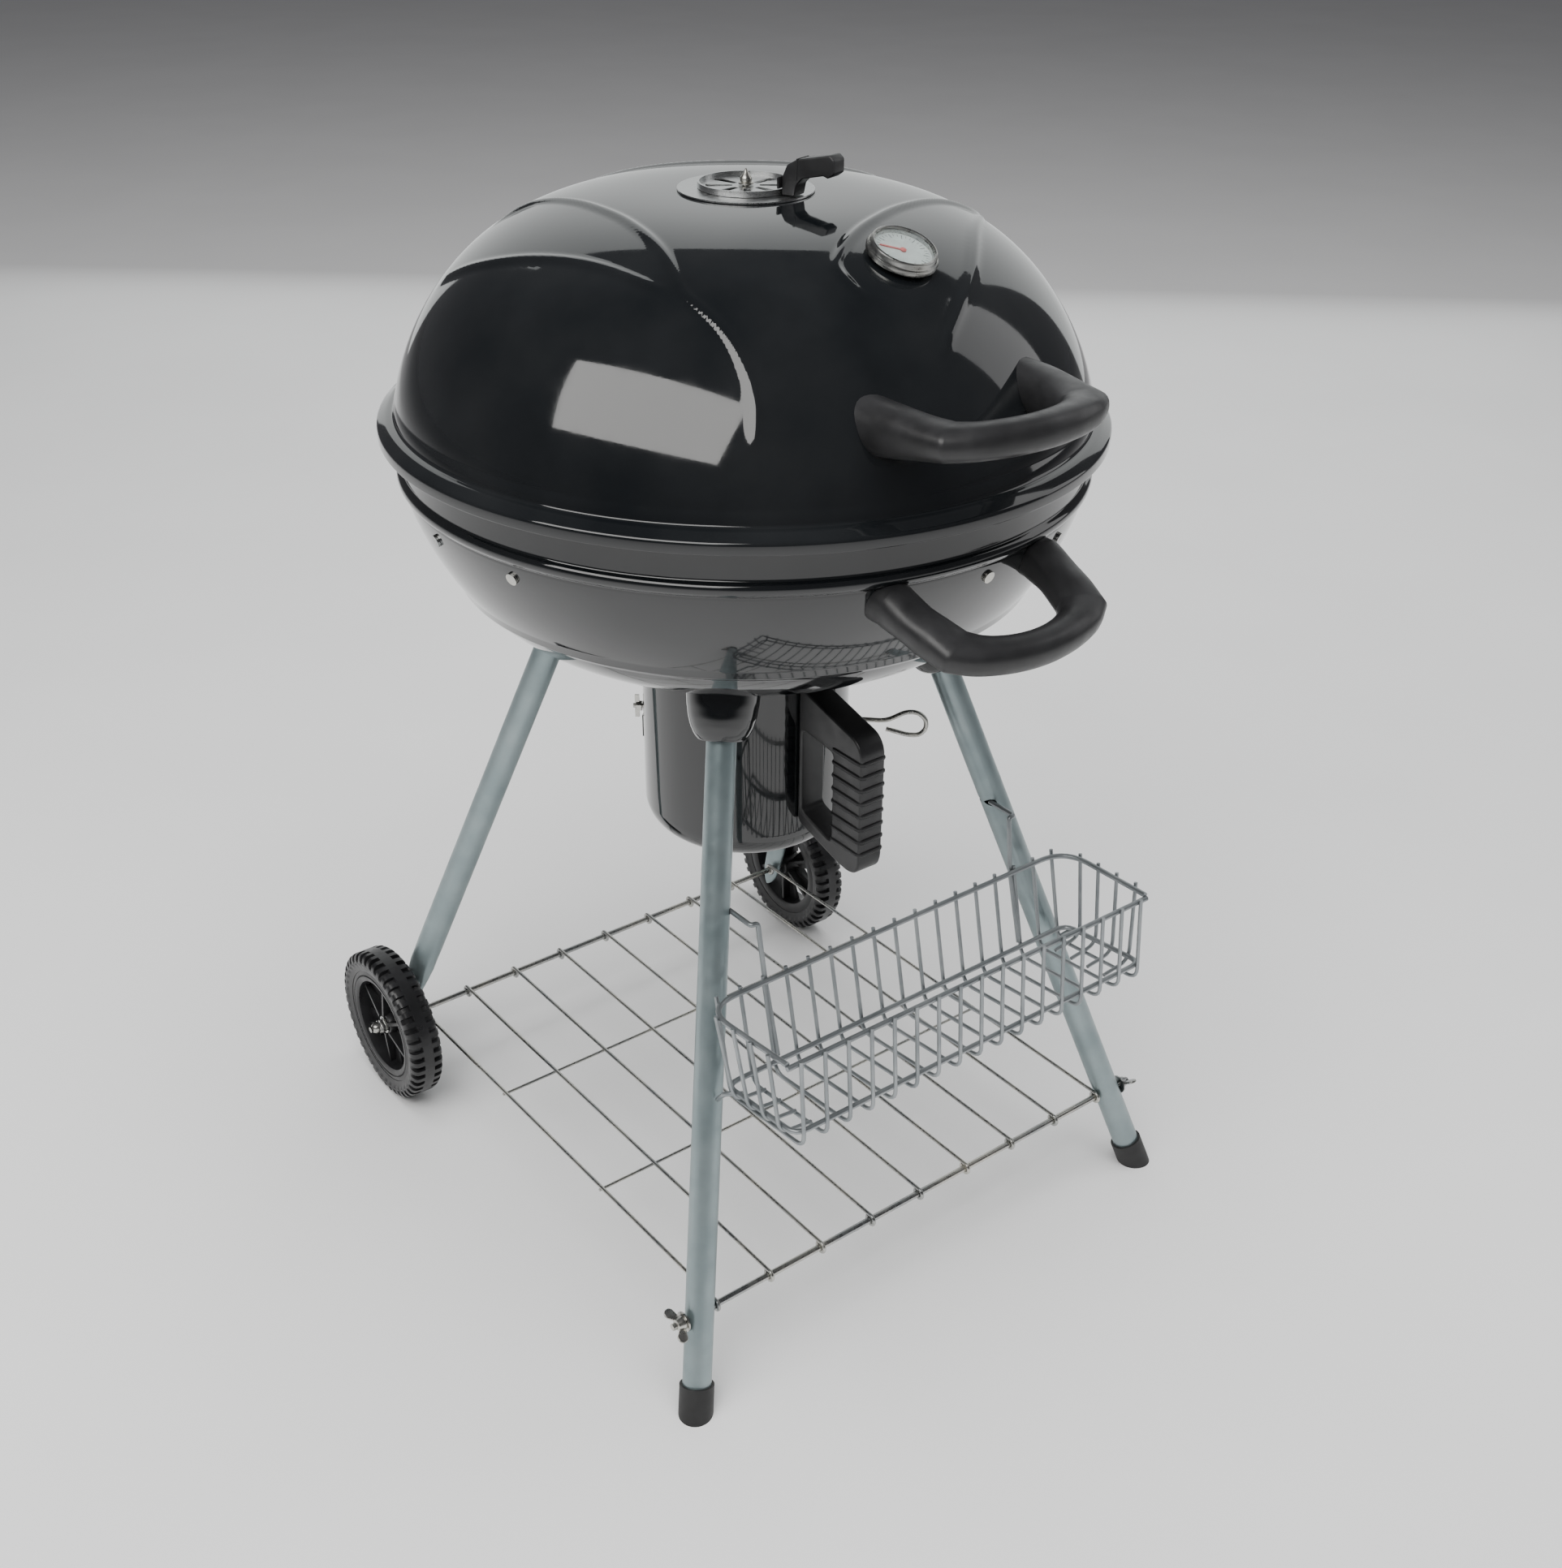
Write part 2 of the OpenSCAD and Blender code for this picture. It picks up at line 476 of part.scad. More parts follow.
// outer shape of the wire basket as a thin tray, with its rim wire and its two hooks
module basket() color(steel) at_kettle() {
  x = basket_l;
  z = basket_z;
  f = 2.6;   // rim wire radius
  w = 0.8;   // tray wall
  difference() {
    translate([-x, 0, 0]) rotate([90, 0, 90]) linear_extrude(2 * x) polygon(tray(0));
    translate([-x + w, 0, w]) rotate([90, 0, 90]) linear_extrude(2 * (x - w)) polygon(tray(w));
  }
  difference() {
    translate([-x - f, by1 - f, z - f]) cube([2 * (x + f), by0 - by1 + 2 * f, 2 * f]);
    translate([-x + f, by1 + f, z - 2 * f]) cube([2 * (x - f), by0 - by1 - 2 * f, 4 * f]);
  }
  for (s = [-1, 1]) {
    wire([s * 138, by0 + 3.4, z - 4], [s * 141, -203, 403], 2.3);
    wire([s * 139.8, -203.4, 402.2], [s * 147.4, -203.4, 402.2], 2.3);
    wire([s * 146, -205, 401.9], [s * 146, -172, 401.9], 2.3);
  }
}

lid_shell();
lid_handle();
lid_handle_screws();
vent_plate();
vent_disc();
vent_tab();
vent_pin();
thermometer_case();
thermometer_dial();
thermometer_needle();
thermometer_glass();
thermometer_nut();
bowl_shell();
bowl_handle();
bowl_handle_screws();
ash_collar();
grate_brackets();
bracket_rivets();
cooking_grate();
charcoal_grate();
damper_flap();
damper_rod();
damper_nut();
ash_pot();
pot_handle();
pot_handle_rivets();
leg_sockets();
front_left_leg();
front_right_leg();
rear_left_leg();
rear_right_leg();
socket_screws();
foot_caps();
axle();
left_tyre();
left_hub();
right_tyre();
right_hub();
hub_nuts();
axle_washers();
shelf();
front_rod();
wing_nuts();
rod_washers();
basket();
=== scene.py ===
"""Looks of the kettle charcoal grill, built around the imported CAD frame.

Shapes are worked out in millimetres from the kettle's own axis, with the floor at z = 0 and the
handles towards -y, and put into the row frame, in metres, when their mesh is made.
"""

import math

import bmesh
import bpy
import numpy as np
from mathutils import Matrix, Vector


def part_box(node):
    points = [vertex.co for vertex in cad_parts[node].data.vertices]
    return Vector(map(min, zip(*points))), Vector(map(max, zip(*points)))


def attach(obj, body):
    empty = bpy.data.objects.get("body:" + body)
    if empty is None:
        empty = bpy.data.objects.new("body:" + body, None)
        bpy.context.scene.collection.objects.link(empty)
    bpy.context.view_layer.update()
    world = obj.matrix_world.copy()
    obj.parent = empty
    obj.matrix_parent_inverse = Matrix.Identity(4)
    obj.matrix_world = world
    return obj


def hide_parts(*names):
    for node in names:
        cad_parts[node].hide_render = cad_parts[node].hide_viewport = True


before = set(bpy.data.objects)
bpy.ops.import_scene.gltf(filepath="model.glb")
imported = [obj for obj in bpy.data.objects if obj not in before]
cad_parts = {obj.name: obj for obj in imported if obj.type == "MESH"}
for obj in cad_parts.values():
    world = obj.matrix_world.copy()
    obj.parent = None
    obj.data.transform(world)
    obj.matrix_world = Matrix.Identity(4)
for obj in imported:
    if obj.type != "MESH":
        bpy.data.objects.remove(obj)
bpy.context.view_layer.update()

TAU = 2 * math.pi
MM = 0.001
lid_low, lid_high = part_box("lid_shell")
KETTLE_Y = (lid_low.y + lid_high.y) / 2          # the kettle's axis in the row frame, metres
TO_ROW = Matrix.Translation((0, KETTLE_Y, 0)) @ Matrix.Diagonal((MM, MM, MM, 1))

# ---------------------------------------------------------------- sizes, as in the CAD part
SKIRT_R = (lid_high.x - lid_low.x) / 2 / MM      # 300
SKIRT_Z = lid_low.z / MM                         # 744
RIM_Z = SKIRT_Z + 6
DOME_R, DOME_Z, DOME_H = 285.0, RIM_Z + 12, 164.0
APEX_Z = DOME_Z + DOME_H
BOWL_R, BOWL_Z, BOWL_SIDE = 283.5, 563.5, 704.0
BEAD_Z = 711.7
LEG_R, FOOT_X, FOOT_Y, LEAN_X, LEAN_Y = 12.5, 268.0, 289.0, 0.2805, 0.305
LEG_TOP, CUP_Z = 545.0, 531.0
AXLE_Y, AXLE_Z, ROD_Y, ROD_Z, ROD_R = 260.0, 79.0, 264.0, 82.0, 3.0
WHEEL_R, WHEEL_W, WHEEL_X = 79.0, 34.0, 276.0
POT_R, POT_Z, POT_TOP, DAMPER_Z = 92.5, 362.0, 556.0, 466.0
DAMPER_TURN = math.radians(-44)
WIRE_PITCH = 57.1


def dome_z(r):
    """Height of the dome's outer surface at radius r."""
    return DOME_Z + DOME_H * (1 - min(1.0, abs(r) / DOME_R) ** 3.61) ** 0.6955


def bowl_r(z):
    """Outer radius of the bowl at height z."""
    if z >= BOWL_SIDE:
        return BOWL_R
    share = min(1.0, (BOWL_SIDE - z) / (BOWL_SIDE - BOWL_Z))
    return BOWL_R * (1 - share ** 1.1855) ** 0.2


def dome_r(z):
    """Outer radius of the dome at height z."""
    share = min(1.0, max(0.0, (z - DOME_Z) / DOME_H))
    return DOME_R * (1 - share ** 1.438) ** 0.277


# ---------------------------------------------------------------- mesh helpers
def skin(rings, closed=True, looped=False, cap=False):
    """Surface through rings of points: closed joins each ring's ends, looped joins the last ring to
    the first, and cap closes both ends with a face."""
    n = len(rings[0])
    verts = [p for ring in rings for p in ring]
    faces = []
    for i in range(len(rings) if looped else len(rings) - 1):
        a, b = i * n, (i + 1) % len(rings) * n
        for j in range(n if closed else n - 1):
            k = (j + 1) % n
            faces.append((a + j, a + k, b + k, b + j))
    if cap:
        faces.append(tuple(reversed(range(n))))
        faces.append(tuple(range((len(rings) - 1) * n, len(rings) * n)))
    return verts, faces


def join(*parts):
    verts, faces = [], []
    for part_verts, part_faces in parts:
        base = len(verts)
        verts += part_verts
        faces += [tuple(base + i for i in f) for f in part_faces]
    return verts, faces


def moved(part, matrix):
    verts, faces = part
    return [tuple(matrix @ Vector(p)) for p in verts], faces


def lathe(profile, n=96, angles=None):
    """Solid or sheet of revolution about z from (radius, height) points; a closed profile is a solid."""
    angles = angles or [i * TAU / n for i in range(n)]
    closed = profile[0] == profile[-1]
    points = profile[:-1] if closed else profile
    rings = [[(r * math.cos(a), r * math.sin(a), z) for r, z in points] for a in angles]
    return skin(rings, closed=closed, looped=True)


def rounded(points, radius, steps=5, closed=False):
    """The line through points with each corner turned into a short curve."""
    points = [Vector(p) for p in points]
    n = len(points)
    out = []
    for i, p in enumerate(points):
        if not closed and i in (0, n - 1):
            out.append(p)
            continue
        a, b = points[i - 1], points[(i + 1) % n]
        cut = min(radius, (a - p).length * 0.49, (b - p).length * 0.49)
        start, end = p + (a - p).normalized() * cut, p + (b - p).normalized() * cut
        for k in range(steps + 1):
            t = k / steps
            out.append(start.lerp(p, t).lerp(p.lerp(end, t), t))
    return out


def tube(points, r, sides=10, closed=False):
    """Round wire of radius r along points."""
    points = [Vector(p) for p in points]
    clean = [points[0]]
    for p in points[1:]:
        if (p - clean[-1]).length > 1e-4:
            clean.append(p)
    if closed and (clean[0] - clean[-1]).length < 1e-4:
        clean.pop()
    n = len(clean)
    across = None
    rings = []
    for i, p in enumerate(clean):
        before = clean[i - 1] if closed or i else p
        after = clean[(i + 1) % n] if closed or i < n - 1 else p
        ahead = (after - before).normalized()
        if across is None:
            across = ahead.orthogonal().normalized()
        across = (across - ahead * across.dot(ahead)).normalized()
        side = ahead.cross(across)
        rings.append([tuple(p + (across * math.cos(a) + side * math.sin(a)) * r)
                      for a in (k * TAU / sides for k in range(sides))])
    return skin(rings, looped=closed, cap=not closed)


def arc(centre, r, start, end, steps=12):
    """Points (a, b) on an arc in a plane, angles in degrees."""
    return [(centre[0] + r * math.cos(math.radians(start + (end - start) * k / steps)),
             centre[1] + r * math.sin(math.radians(start + (end - start) * k / steps)))
            for k in range(steps + 1)]


def piece(name, part, material, body, replaces=(), smooth=35, bevel=0.0, row=True):
    """A finished piece: a mesh in the row frame that rides on a body and stands for CAD nodes."""
    verts, faces = part
    mesh = bpy.data.meshes.new(name)
    mesh.from_pydata([tuple(v) for v in verts], [], faces)
    if row:
        mesh.transform(TO_ROW)
    bm = bmesh.new()
    bm.from_mesh(mesh)
    bmesh.ops.remove_doubles(bm, verts=bm.verts, dist=1e-6)
    bmesh.ops.recalc_face_normals(bm, faces=bm.faces)
    if bevel:
        edges = [e for e in bm.edges if e.is_manifold and e.calc_face_angle(0) > math.radians(30)]
        bmesh.ops.bevel(bm, geom=edges, offset=bevel * MM, segments=2, affect="EDGES", profile=0.6)
    for f in bm.faces:
        f.smooth = True
    for e in bm.edges:
        e.smooth = not (e.is_manifold and e.calc_face_angle(0) > math.radians(smooth))
    bm.to_mesh(mesh)
    bm.free()
    obj = bpy.data.objects.new(name, mesh)
    bpy.context.scene.collection.objects.link(obj)
    mesh.materials.append(material)
    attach(obj, body)
    if replaces:
        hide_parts(*replaces)
    return obj


def outline_plate(outlines, half, bevel):
    """Flat plate of the given closed outlines (holes included), with rounded edges, as verts and faces."""
    curve = bpy.data.curves.new("outline", "CURVE")
    curve.dimensions = "2D"
    curve.fill_mode = "BOTH"
    curve.extrude = half - bevel
    curve.bevel_depth = bevel
    curve.bevel_resolution = 3
    curve.offset = -bevel
    for points in outlines:
        spline = curve.splines.new("POLY")
        spline.points.add(len(points) - 1)
        for slot, p in zip(spline.points, points):
            slot.co = (p[0], p[1], 0, 1)
        spline.use_cyclic_u = True
    obj = bpy.data.objects.new("outline", curve)
    bpy.context.scene.collection.objects.link(obj)
    bpy.context.view_layer.update()
    mesh = obj.evaluated_get(bpy.context.evaluated_depsgraph_get()).to_mesh()
    part = [tuple(v.co) for v in mesh.vertices], [tuple(p.vertices) for p in mesh.polygons]
    bpy.data.objects.remove(obj)
    bpy.data.curves.remove(curve)
    return part


# ---------------------------------------------------------------- materials
class Look:
    """A Principled material with procedural colour, roughness and bump in object coordinates."""

    def __init__(self, name, colour, rough, metal=0.0, **sockets):
        self.material = bpy.data.materials.new(name)
        self.material.use_nodes = True
        self.tree = self.material.node_tree
        self.shader = self.tree.nodes["Principled BSDF"]
        self.shader.inputs["Base Color"].default_value = (*colour, 1)
        self.shader.inputs["Roughness"].default_value = rough
        self.shader.inputs["Metallic"].default_value = metal
        for key, value in sockets.items():
            self.shader.inputs[key.replace("_", " ")].default_value = value
        self.coords = self.tree.nodes.new("ShaderNodeTexCoord").outputs["Object"]
        self.height = None

    def noise(self, scale, detail=3.0, stretch=(1, 1, 1), rough=0.5):
        mapping = self.tree.nodes.new("ShaderNodeMapping")
        mapping.inputs["Scale"].default_value = stretch
        self.tree.links.new(self.coords, mapping.inputs["Vector"])
        node = self.tree.nodes.new("ShaderNodeTexNoise")
        node.inputs["Scale"].default_value = scale
        node.inputs["Detail"].default_value = detail
        node.inputs["Roughness"].default_value = rough
        self.tree.links.new(mapping.outputs[0], node.inputs["Vector"])
        return node.outputs["Fac"]

    def ramp(self, fac, low, high, start=0.35, end=0.65):
        """Colour or roughness between two values, following fac."""
        node = self.tree.nodes.new("ShaderNodeValToRGB")
        node.color_ramp.elements[0].position = start
        node.color_ramp.elements[1].position = end
        for element, value in zip(node.color_ramp.elements, (low, high)):
            element.color = (*value, 1) if isinstance(value, tuple) else (value, value, value, 1)
        self.tree.links.new(fac, node.inputs["Fac"])
        return node.outputs["Color"]

    def colour(self, fac, low, high, start=0.35, end=0.65):
        self.tree.links.new(self.ramp(fac, low, high, start, end), self.shader.inputs["Base Color"])
        return self

    def rough(self, fac, low, high, start=0.3, end=0.7):
        self.tree.links.new(self.ramp(fac, low, high, start, end), self.shader.inputs["Roughness"])
        return self

    def bump(self, fac, strength, distance=0.0005):
        node = self.tree.nodes.new("ShaderNodeBump")
        node.inputs["Strength"].default_value = strength
        node.inputs["Distance"].default_value = distance
        self.tree.links.new(fac, node.inputs["Height"])
        if self.height:
            self.tree.links.new(self.height, node.inputs["Normal"])
        self.height = node.outputs["Normal"]
        self.tree.links.new(self.height, self.shader.inputs["Normal"])
        return self


def enamel():
    """Black porcelain enamel: deep gloss with orange peel and a slight slow wave."""
    look = Look("enamel", (0.006, 0.007, 0.008), 0.06, Coat_Weight=0.5, Coat_Roughness=0.03)
    look.colour(look.noise(9, 4), (0.004, 0.005, 0.006), (0.010, 0.011, 0.012))
    look.rough(look.noise(60, 5), 0.045, 0.10)
    look.bump(look.noise(14, 1), 0.10, 0.0010)
    look.bump(look.noise(420, 2), 0.05, 0.0002)
    return look.material


def moulded(name, colour, rough, grain):
    """Black moulded plastic: satin with a fine grain."""
    look = Look(name, colour, rough)
    look.colour(look.noise(30, 4), tuple(c * 0.7 for c in colour), tuple(c * 1.3 for c in colour))
    look.rough(look.noise(90, 4), rough - 0.06, rough + 0.08)
    look.bump(look.noise(grain, 3), 0.18, 0.0002)
    return look.material


def coated(name, low, high, metal, rough, flake=1500):
    """Metallic coating with fine flakes and slight unevenness."""
    look = Look(name, low, rough, metal)
    look.colour(look.noise(26, 5), low, high)
    look.rough(look.noise(70, 4), rough - 0.07, rough + 0.07)
    look.bump(look.noise(flake, 2), 0.10, 0.0001)
    return look.material


def plated():
    """Dull nickel plating, a little yellowed in places."""
    look = Look("plated_steel", (0.5, 0.5, 0.49), 0.28, 1.0)
    look.colour(look.noise(22, 5), (0.36, 0.37, 0.37), (0.62, 0.60, 0.54), 0.35, 0.72)
    look.rough(look.noise(160, 4), 0.2, 0.38)
    look.bump(look.noise(500, 3), 0.08, 0.0001)
    return look.material


def brushed(name, colour, rough, stretch=(1, 30, 30)):
    """Bare steel with fine brushing along x."""
    look = Look(name, colour, rough, 1.0)
    lines = look.noise(70, 4, stretch)
    look.colour(lines, tuple(c * 0.8 for c in colour), colour)
    look.rough(lines, rough - 0.08, rough + 0.1)
    look.bump(lines, 0.12, 0.0001)
    return look.material


def plain(name, colour, rough, **sockets):
    look = Look(name, colour, rough, **sockets)
    look.colour(look.noise(160, 3), tuple(c * 0.85 for c in colour), colour)
    look.rough(look.noise(220, 3), rough, rough + 0.08)
    return look.material


ENAMEL = enamel()
PLASTIC = moulded("handle_plastic", (0.018, 0.018, 0.019), 0.36, 1400)
TYRE = moulded("tyre_plastic", (0.014, 0.014, 0.015), 0.33, 900)
CAP = moulded("cap_rubber", (0.016, 0.016, 0.016), 0.55, 1800)
LEG = coated("leg_paint", (0.25, 0.31, 0.32), (0.31, 0.37, 0.38), 0.75, 0.36)
WIRE = coated("basket_wire", (0.24, 0.26, 0.27), (0.34, 0.36, 0.37), 0.8, 0.38)
PLATED = plated()
STEEL = brushed("vent_steel", (0.66, 0.67, 0.67), 0.3)
BARE = brushed("plain_steel", (0.34, 0.34, 0.35), 0.42, (1, 8, 8))
GRATE = coated("grate_plating", (0.4, 0.4, 0.4), (0.55, 0.55, 0.53), 1.0, 0.3)
DIAL = plain("dial_print", (0.5, 0.54, 0.52), 0.5)
MARKS = plain("dial_marks", (0.05, 0.06, 0.06), 0.5)
NEEDLE = plain("needle_paint", (0.6, 0.03, 0.02), 0.25)
GLASS = Look("dial_glass", (0.95, 0.98, 0.98), 0.03, Transmission_Weight=1.0, IOR=1.45).material


# ---------------------------------------------------------------- camera, lights, floor
CAM_AZ, CAM_PITCH, CAM_ROLL = math.radians(-38.41), math.radians(30.48), math.radians(0.90)
CAM_SIDE, CAM_AIM, CAM_DIST = 46.51, 366.81, 1754.17     # millimetres in the kettle's frame


def add_camera():
    back = Vector((math.sin(CAM_AZ) * math.cos(CAM_PITCH), -math.cos(CAM_AZ) * math.cos(CAM_PITCH),
                   math.sin(CAM_PITCH)))
    right = Vector((math.cos(CAM_AZ), math.sin(CAM_AZ), 0))
    up = back.cross(right)
    place = right * CAM_SIDE + Vector((0, 0, CAM_AIM)) + back * CAM_DIST
    turn = Matrix.Rotation(CAM_ROLL, 3, back)
    right, up = turn @ right, turn @ up
    data = bpy.data.cameras.new("camera")
    data.sensor_width, data.lens = 36, 43.26
    data.shift_x, data.shift_y = -0.0095, 0.0149
    data.clip_end = 100
    camera = bpy.data.objects.new("camera", data)
    camera.matrix_world = Matrix.Translation(TO_ROW @ place) @ Matrix((right, up, back)).transposed().to_4x4()
    bpy.context.scene.collection.objects.link(camera)
    bpy.context.scene.camera = camera


def softbox(name, azimuth, elevation, distance, size, power, colour=(1, 1, 1), glossy=True, aim=0.65):
    """Rectangular area light that faces the object, placed by direction (degrees) and distance (metres)."""
    a, e = math.radians(azimuth), math.radians(elevation)
    toward = Vector((math.cos(a) * math.cos(e), math.sin(a) * math.cos(e), math.sin(e)))
    data = bpy.data.lights.new(name, "AREA")
    data.shape = "RECTANGLE"
    data.size, data.size_y = size
    data.energy, data.color = power, colour
    light = bpy.data.objects.new(name, data)
    light.location = Vector((0, KETTLE_Y, aim)) + toward * distance
    light.rotation_euler = toward.to_track_quat("Z", "Y").to_euler()
    light.visible_glossy = glossy
    bpy.context.scene.collection.objects.link(light)


def add_stage():
    floor = bpy.data.meshes.new("floor")
    floor.from_pydata([(-30, -30, 0), (30, -30, 0), (30, 30, 0), (-30, 30, 0)], [], [(0, 1, 2, 3)])
    look = Look("floor", (0.84, 0.84, 0.84), 0.9)
    look.colour(look.noise(3, 3), (0.83, 0.83, 0.83), (0.85, 0.85, 0.85))
    floor.materials.append(look.material)
    obj = bpy.data.objects.new("floor", floor)
    bpy.context.scene.collection.objects.link(obj)
    world = bpy.data.worlds.new("studio")
    world.use_nodes = True
    nodes, links = world.node_tree.nodes, world.node_tree.links
    ray = nodes.new("ShaderNodeLightPath")
    mix = nodes.new("ShaderNodeMix")
    mix.data_type = "RGBA"
    mix.inputs["A"].default_value = (0.10, 0.10, 0.105, 1)      # what glossy surfaces see
    mix.inputs["B"].default_value = (0.93, 0.93, 0.93, 1)
    links.new(ray.outputs["Is Camera Ray"], mix.inputs["Factor"])
    links.new(mix.outputs["Result"], nodes["Background"].inputs["Color"])
    bpy.context.scene.world = world
    softbox("overhead", 250, 78, 3.4, (4.0, 4.0), 230, glossy=False)
    softbox("window", 197, 40, 2.4, (2.3, 1.1), 42, (1.0, 0.99, 0.97))
    softbox("backdrop", 50, 20, 2.8, (4.2, 3.0), 34, (0.97, 1.0, 0.99))
    softbox("side", -20, 24, 3.0, (1.2, 2.4), 10)


# ---------------------------------------------------------------- lid
def rib_paths():
    """Pressed ribs of the lid in plan: two arms that meet and run down to the rim, three times round."""
    upper = [(-153, 135), (-136, 131), (-121, 122), (-117, 93), (-116, 55), (-118, 24), (-120, -5),
             (-127, -49), (-133, -77), (-140, -100), (-149, -125)]
    lower = [(-149, -125), (-146, -146), (-143, -162), (-142, -180), (-144, -201), (-149, -213), (-156, -221)]
    outer = [(-152, -120), (-159, -110), (-176, -40), (-189, 3), (-201, 47), (-206, 90), (-206, 130)]
    return [upper + lower[1:], outer]


def rib_height(points):
    """How far each lid point is raised: soft ridges along the ribs, fading at their ends."""
    raised = np.zeros(len(points))
    for turn in (0, TAU / 3, 2 * TAU / 3):
        c, s = math.cos(turn), math.sin(turn)
        for path in rib_paths():
            line = rounded([(x, y, 0) for x, y in path], 30, 4)
            line = np.array([(x * c - y * s, x * s + y * c, dome_z(math.hypot(x, y))) for x, y, _ in line])
            run = np.concatenate([[0], np.cumsum(np.linalg.norm(np.diff(line, axis=0), axis=1))])
            best, at = np.full(len(points), 1e9), np.zeros(len(points))
            for k in range(len(line) - 1):
                a, d = line[k], line[k + 1] - line[k]
                t = np.clip((points - a) @ d / (d @ d), 0, 1)
                away = np.linalg.norm(points - a - t[:, None] * d, axis=1)
                at = np.where(away < best, run[k] + t * (run[k + 1] - run[k]), at)
                best = np.minimum(best, away)
            fade = np.clip(np.minimum(at, run[-1] - at) / 25, 0, 1)
            ridge = np.clip(1 - best / 6.5, 0, 1)
            raised = np.maximum(raised, 2.6 * fade * ridge * ridge * (3 - 2 * ridge))
    return raised


def build_lid():
    skirt = rounded([(SKIRT_R - 1.6, 0, SKIRT_Z), (SKIRT_R, 0, SKIRT_Z), (SKIRT_R, 0, RIM_Z + 3),
                     (291.5, 0, RIM_Z + 8.4), (286, 0, RIM_Z + 9.6), (DOME_R - 0.4, 0, DOME_Z + 7)], 2.2, 4)
    skirt = [(p[0], p[2]) for p in skirt]
    wall = [dome_z_at for dome_z_at in np.linspace(DOME_Z + 8, DOME_Z + 95, 44)]
    side = [(dome_r(z), z) for z in wall]
    top = [(r, dome_z(r)) for r in np.linspace(side[-1][0], 34, 86)[1:]]
    profile = skirt + side + top
    n = 640
    verts, faces = lathe(profile, n)
    points = np.array(verts)
    radius = np.hypot(points[:, 0], points[:, 1])
    lift = rib_height(points)
    lift *= radius < DOME_R - 0.2
    # outward direction of the dome under each point
    slope = np.array([(dome_z(r + 0.5) - dome_z(max(r - 0.5, 0))) if r < DOME_R - 1 else -60.0 for r in radius])
    outward = np.stack([-slope * points[:, 0] / radius, -slope * points[:, 1] / radius, np.ones(len(points))], 1)
    outward /= np.linalg.norm(outward, axis=1)[:, None]
    points = points + outward * lift[:, None]
    # the sheet's inner face
    inner_wall = [(max(34, r - 1.6), z - 1.6) for r, z in top[::-6]]
    inner = [(34, APEX_Z - 1.8)] + inner_wall + [(dome_r(z) - 1.6, z - 0.8) for z in wall[::-5]]
    inner += [(DOME_R - 2, DOME_Z - 4), (290, RIM_Z + 6.8), (SKIRT_R - 1.6, RIM_Z + 2), (SKIRT_R - 1.6, SKIRT_Z)]
    part = join((points.tolist(), faces), lathe(inner, 160))
    piece("lid_shell_skin", part, ENAMEL, "lid", ["lid_shell"], smooth=50)


def lid_frame(tilt_deg, y, z):
    """Matrix from a handle's own plane (x, reach, thickness) to the kettle's frame."""
    a = math.radians(tilt_deg)
    reach = Vector((0, -math.cos(a), -math.sin(a)))
    thick = Vector((0, -math.sin(a), math.cos(a)))
    m = Matrix((Vector((1, 0, 0)), reach, thick)).transposed().to_4x4()
    return Matrix.Translation((0, y, z)) @ m


def d_handle(matrix, wall_r, root):
    """Moulded D handle: arms that thicken to a pad at the wall, a creased corner and a bowed grip.
    wall_r gives the wall's radius at a height, root the pad's thickness."""
    half = [((-56.5, -2), (-90, 0), root), ((-56, 8), (-90, 8), root - 1.5), ((-54.5, 22), (-88.5, 24), root - 5),
            ((-51, 37), (-85.5, 45), 30), ((-46, 50), (-81, 68), 26.5),
            ((-38, 57.5), (-63, 80.5), 26), ((-26, 63), (-42, 88), 26), ((-13, 66), (-21, 92.3), 26),
            ((0, 67), (0, 93.7), 26)]
    stations = half + [((-i[0], i[1]), (-o[0], o[1]), t) for i, o, t in reversed(half[:-1])]
    corners = (4, len(stations) - 5)

    def between(k, t):
        """Catmull-Rom through the stations, with a crease at the corners."""
        picks = [k - 1 if k not in corners and k else k, k, k + 1,
                 k + 2 if k + 1 not in corners and k + 2 < len(stations) else k + 1]
        p = [np.array([*stations[i][0], *stations[i][1], stations[i][2]], float) for i in picks]
        return 0.5 * (2 * p[1] + (p[2] - p[0]) * t + (2 * p[0] - 5 * p[1] + 4 * p[2] - p[3]) * t * t
                      + (3 * p[1] - p[0] - 3 * p[2] + p[3]) * t ** 3)

    rings = []
    steps, sides, blunt = 6, 28, 2.35
    rows = [between(k, t / steps) for k in range(len(stations) - 1) for t in range(steps)]
    rows.append(np.array([*stations[-1][0], *stations[-1][1], stations[-1][2]], float))
    for ix, iy, ox, oy, thick in rows:
        mid, half_w = Vector(((ix + ox) / 2, (iy + oy) / 2)), Vector(((ox - ix) / 2, (oy - iy) / 2))
        ring = []
        for k in range(sides):
            c, s = math.cos(k * TAU / sides), math.sin(k * TAU / sides)
            u = math.copysign(abs(c) ** (2 / blunt), c)
            w = math.copysign(abs(s) ** (2 / blunt), s)
            ring.append(matrix @ Vector((mid.x + half_w.x * u, mid.y + half_w.y * u, thick / 2 * w)))
        rings.append(ring)
    for ring in (rings[0], rings[-1]):
        for p in ring:
            r = wall_r(p.z) + 0.1
            p.y = -math.sqrt(max(0.0, r * r - p.x * p.x))
    return skin([[tuple(p) for p in ring] for ring in rings], cap=True)


def build_handles():
    lid = d_handle(lid_frame(-4, -258, RIM_Z + 70), dome_r, 40)
    piece("lid_handle_grip", lid, PLASTIC, "lid", ["lid_handle"], smooth=60)
    bowl = d_handle(lid_frame(17.5, -278, 692), bowl_r, 34)
    piece("bowl_handle_grip", bowl, PLASTIC, "base", ["bowl_handle"], smooth=60)


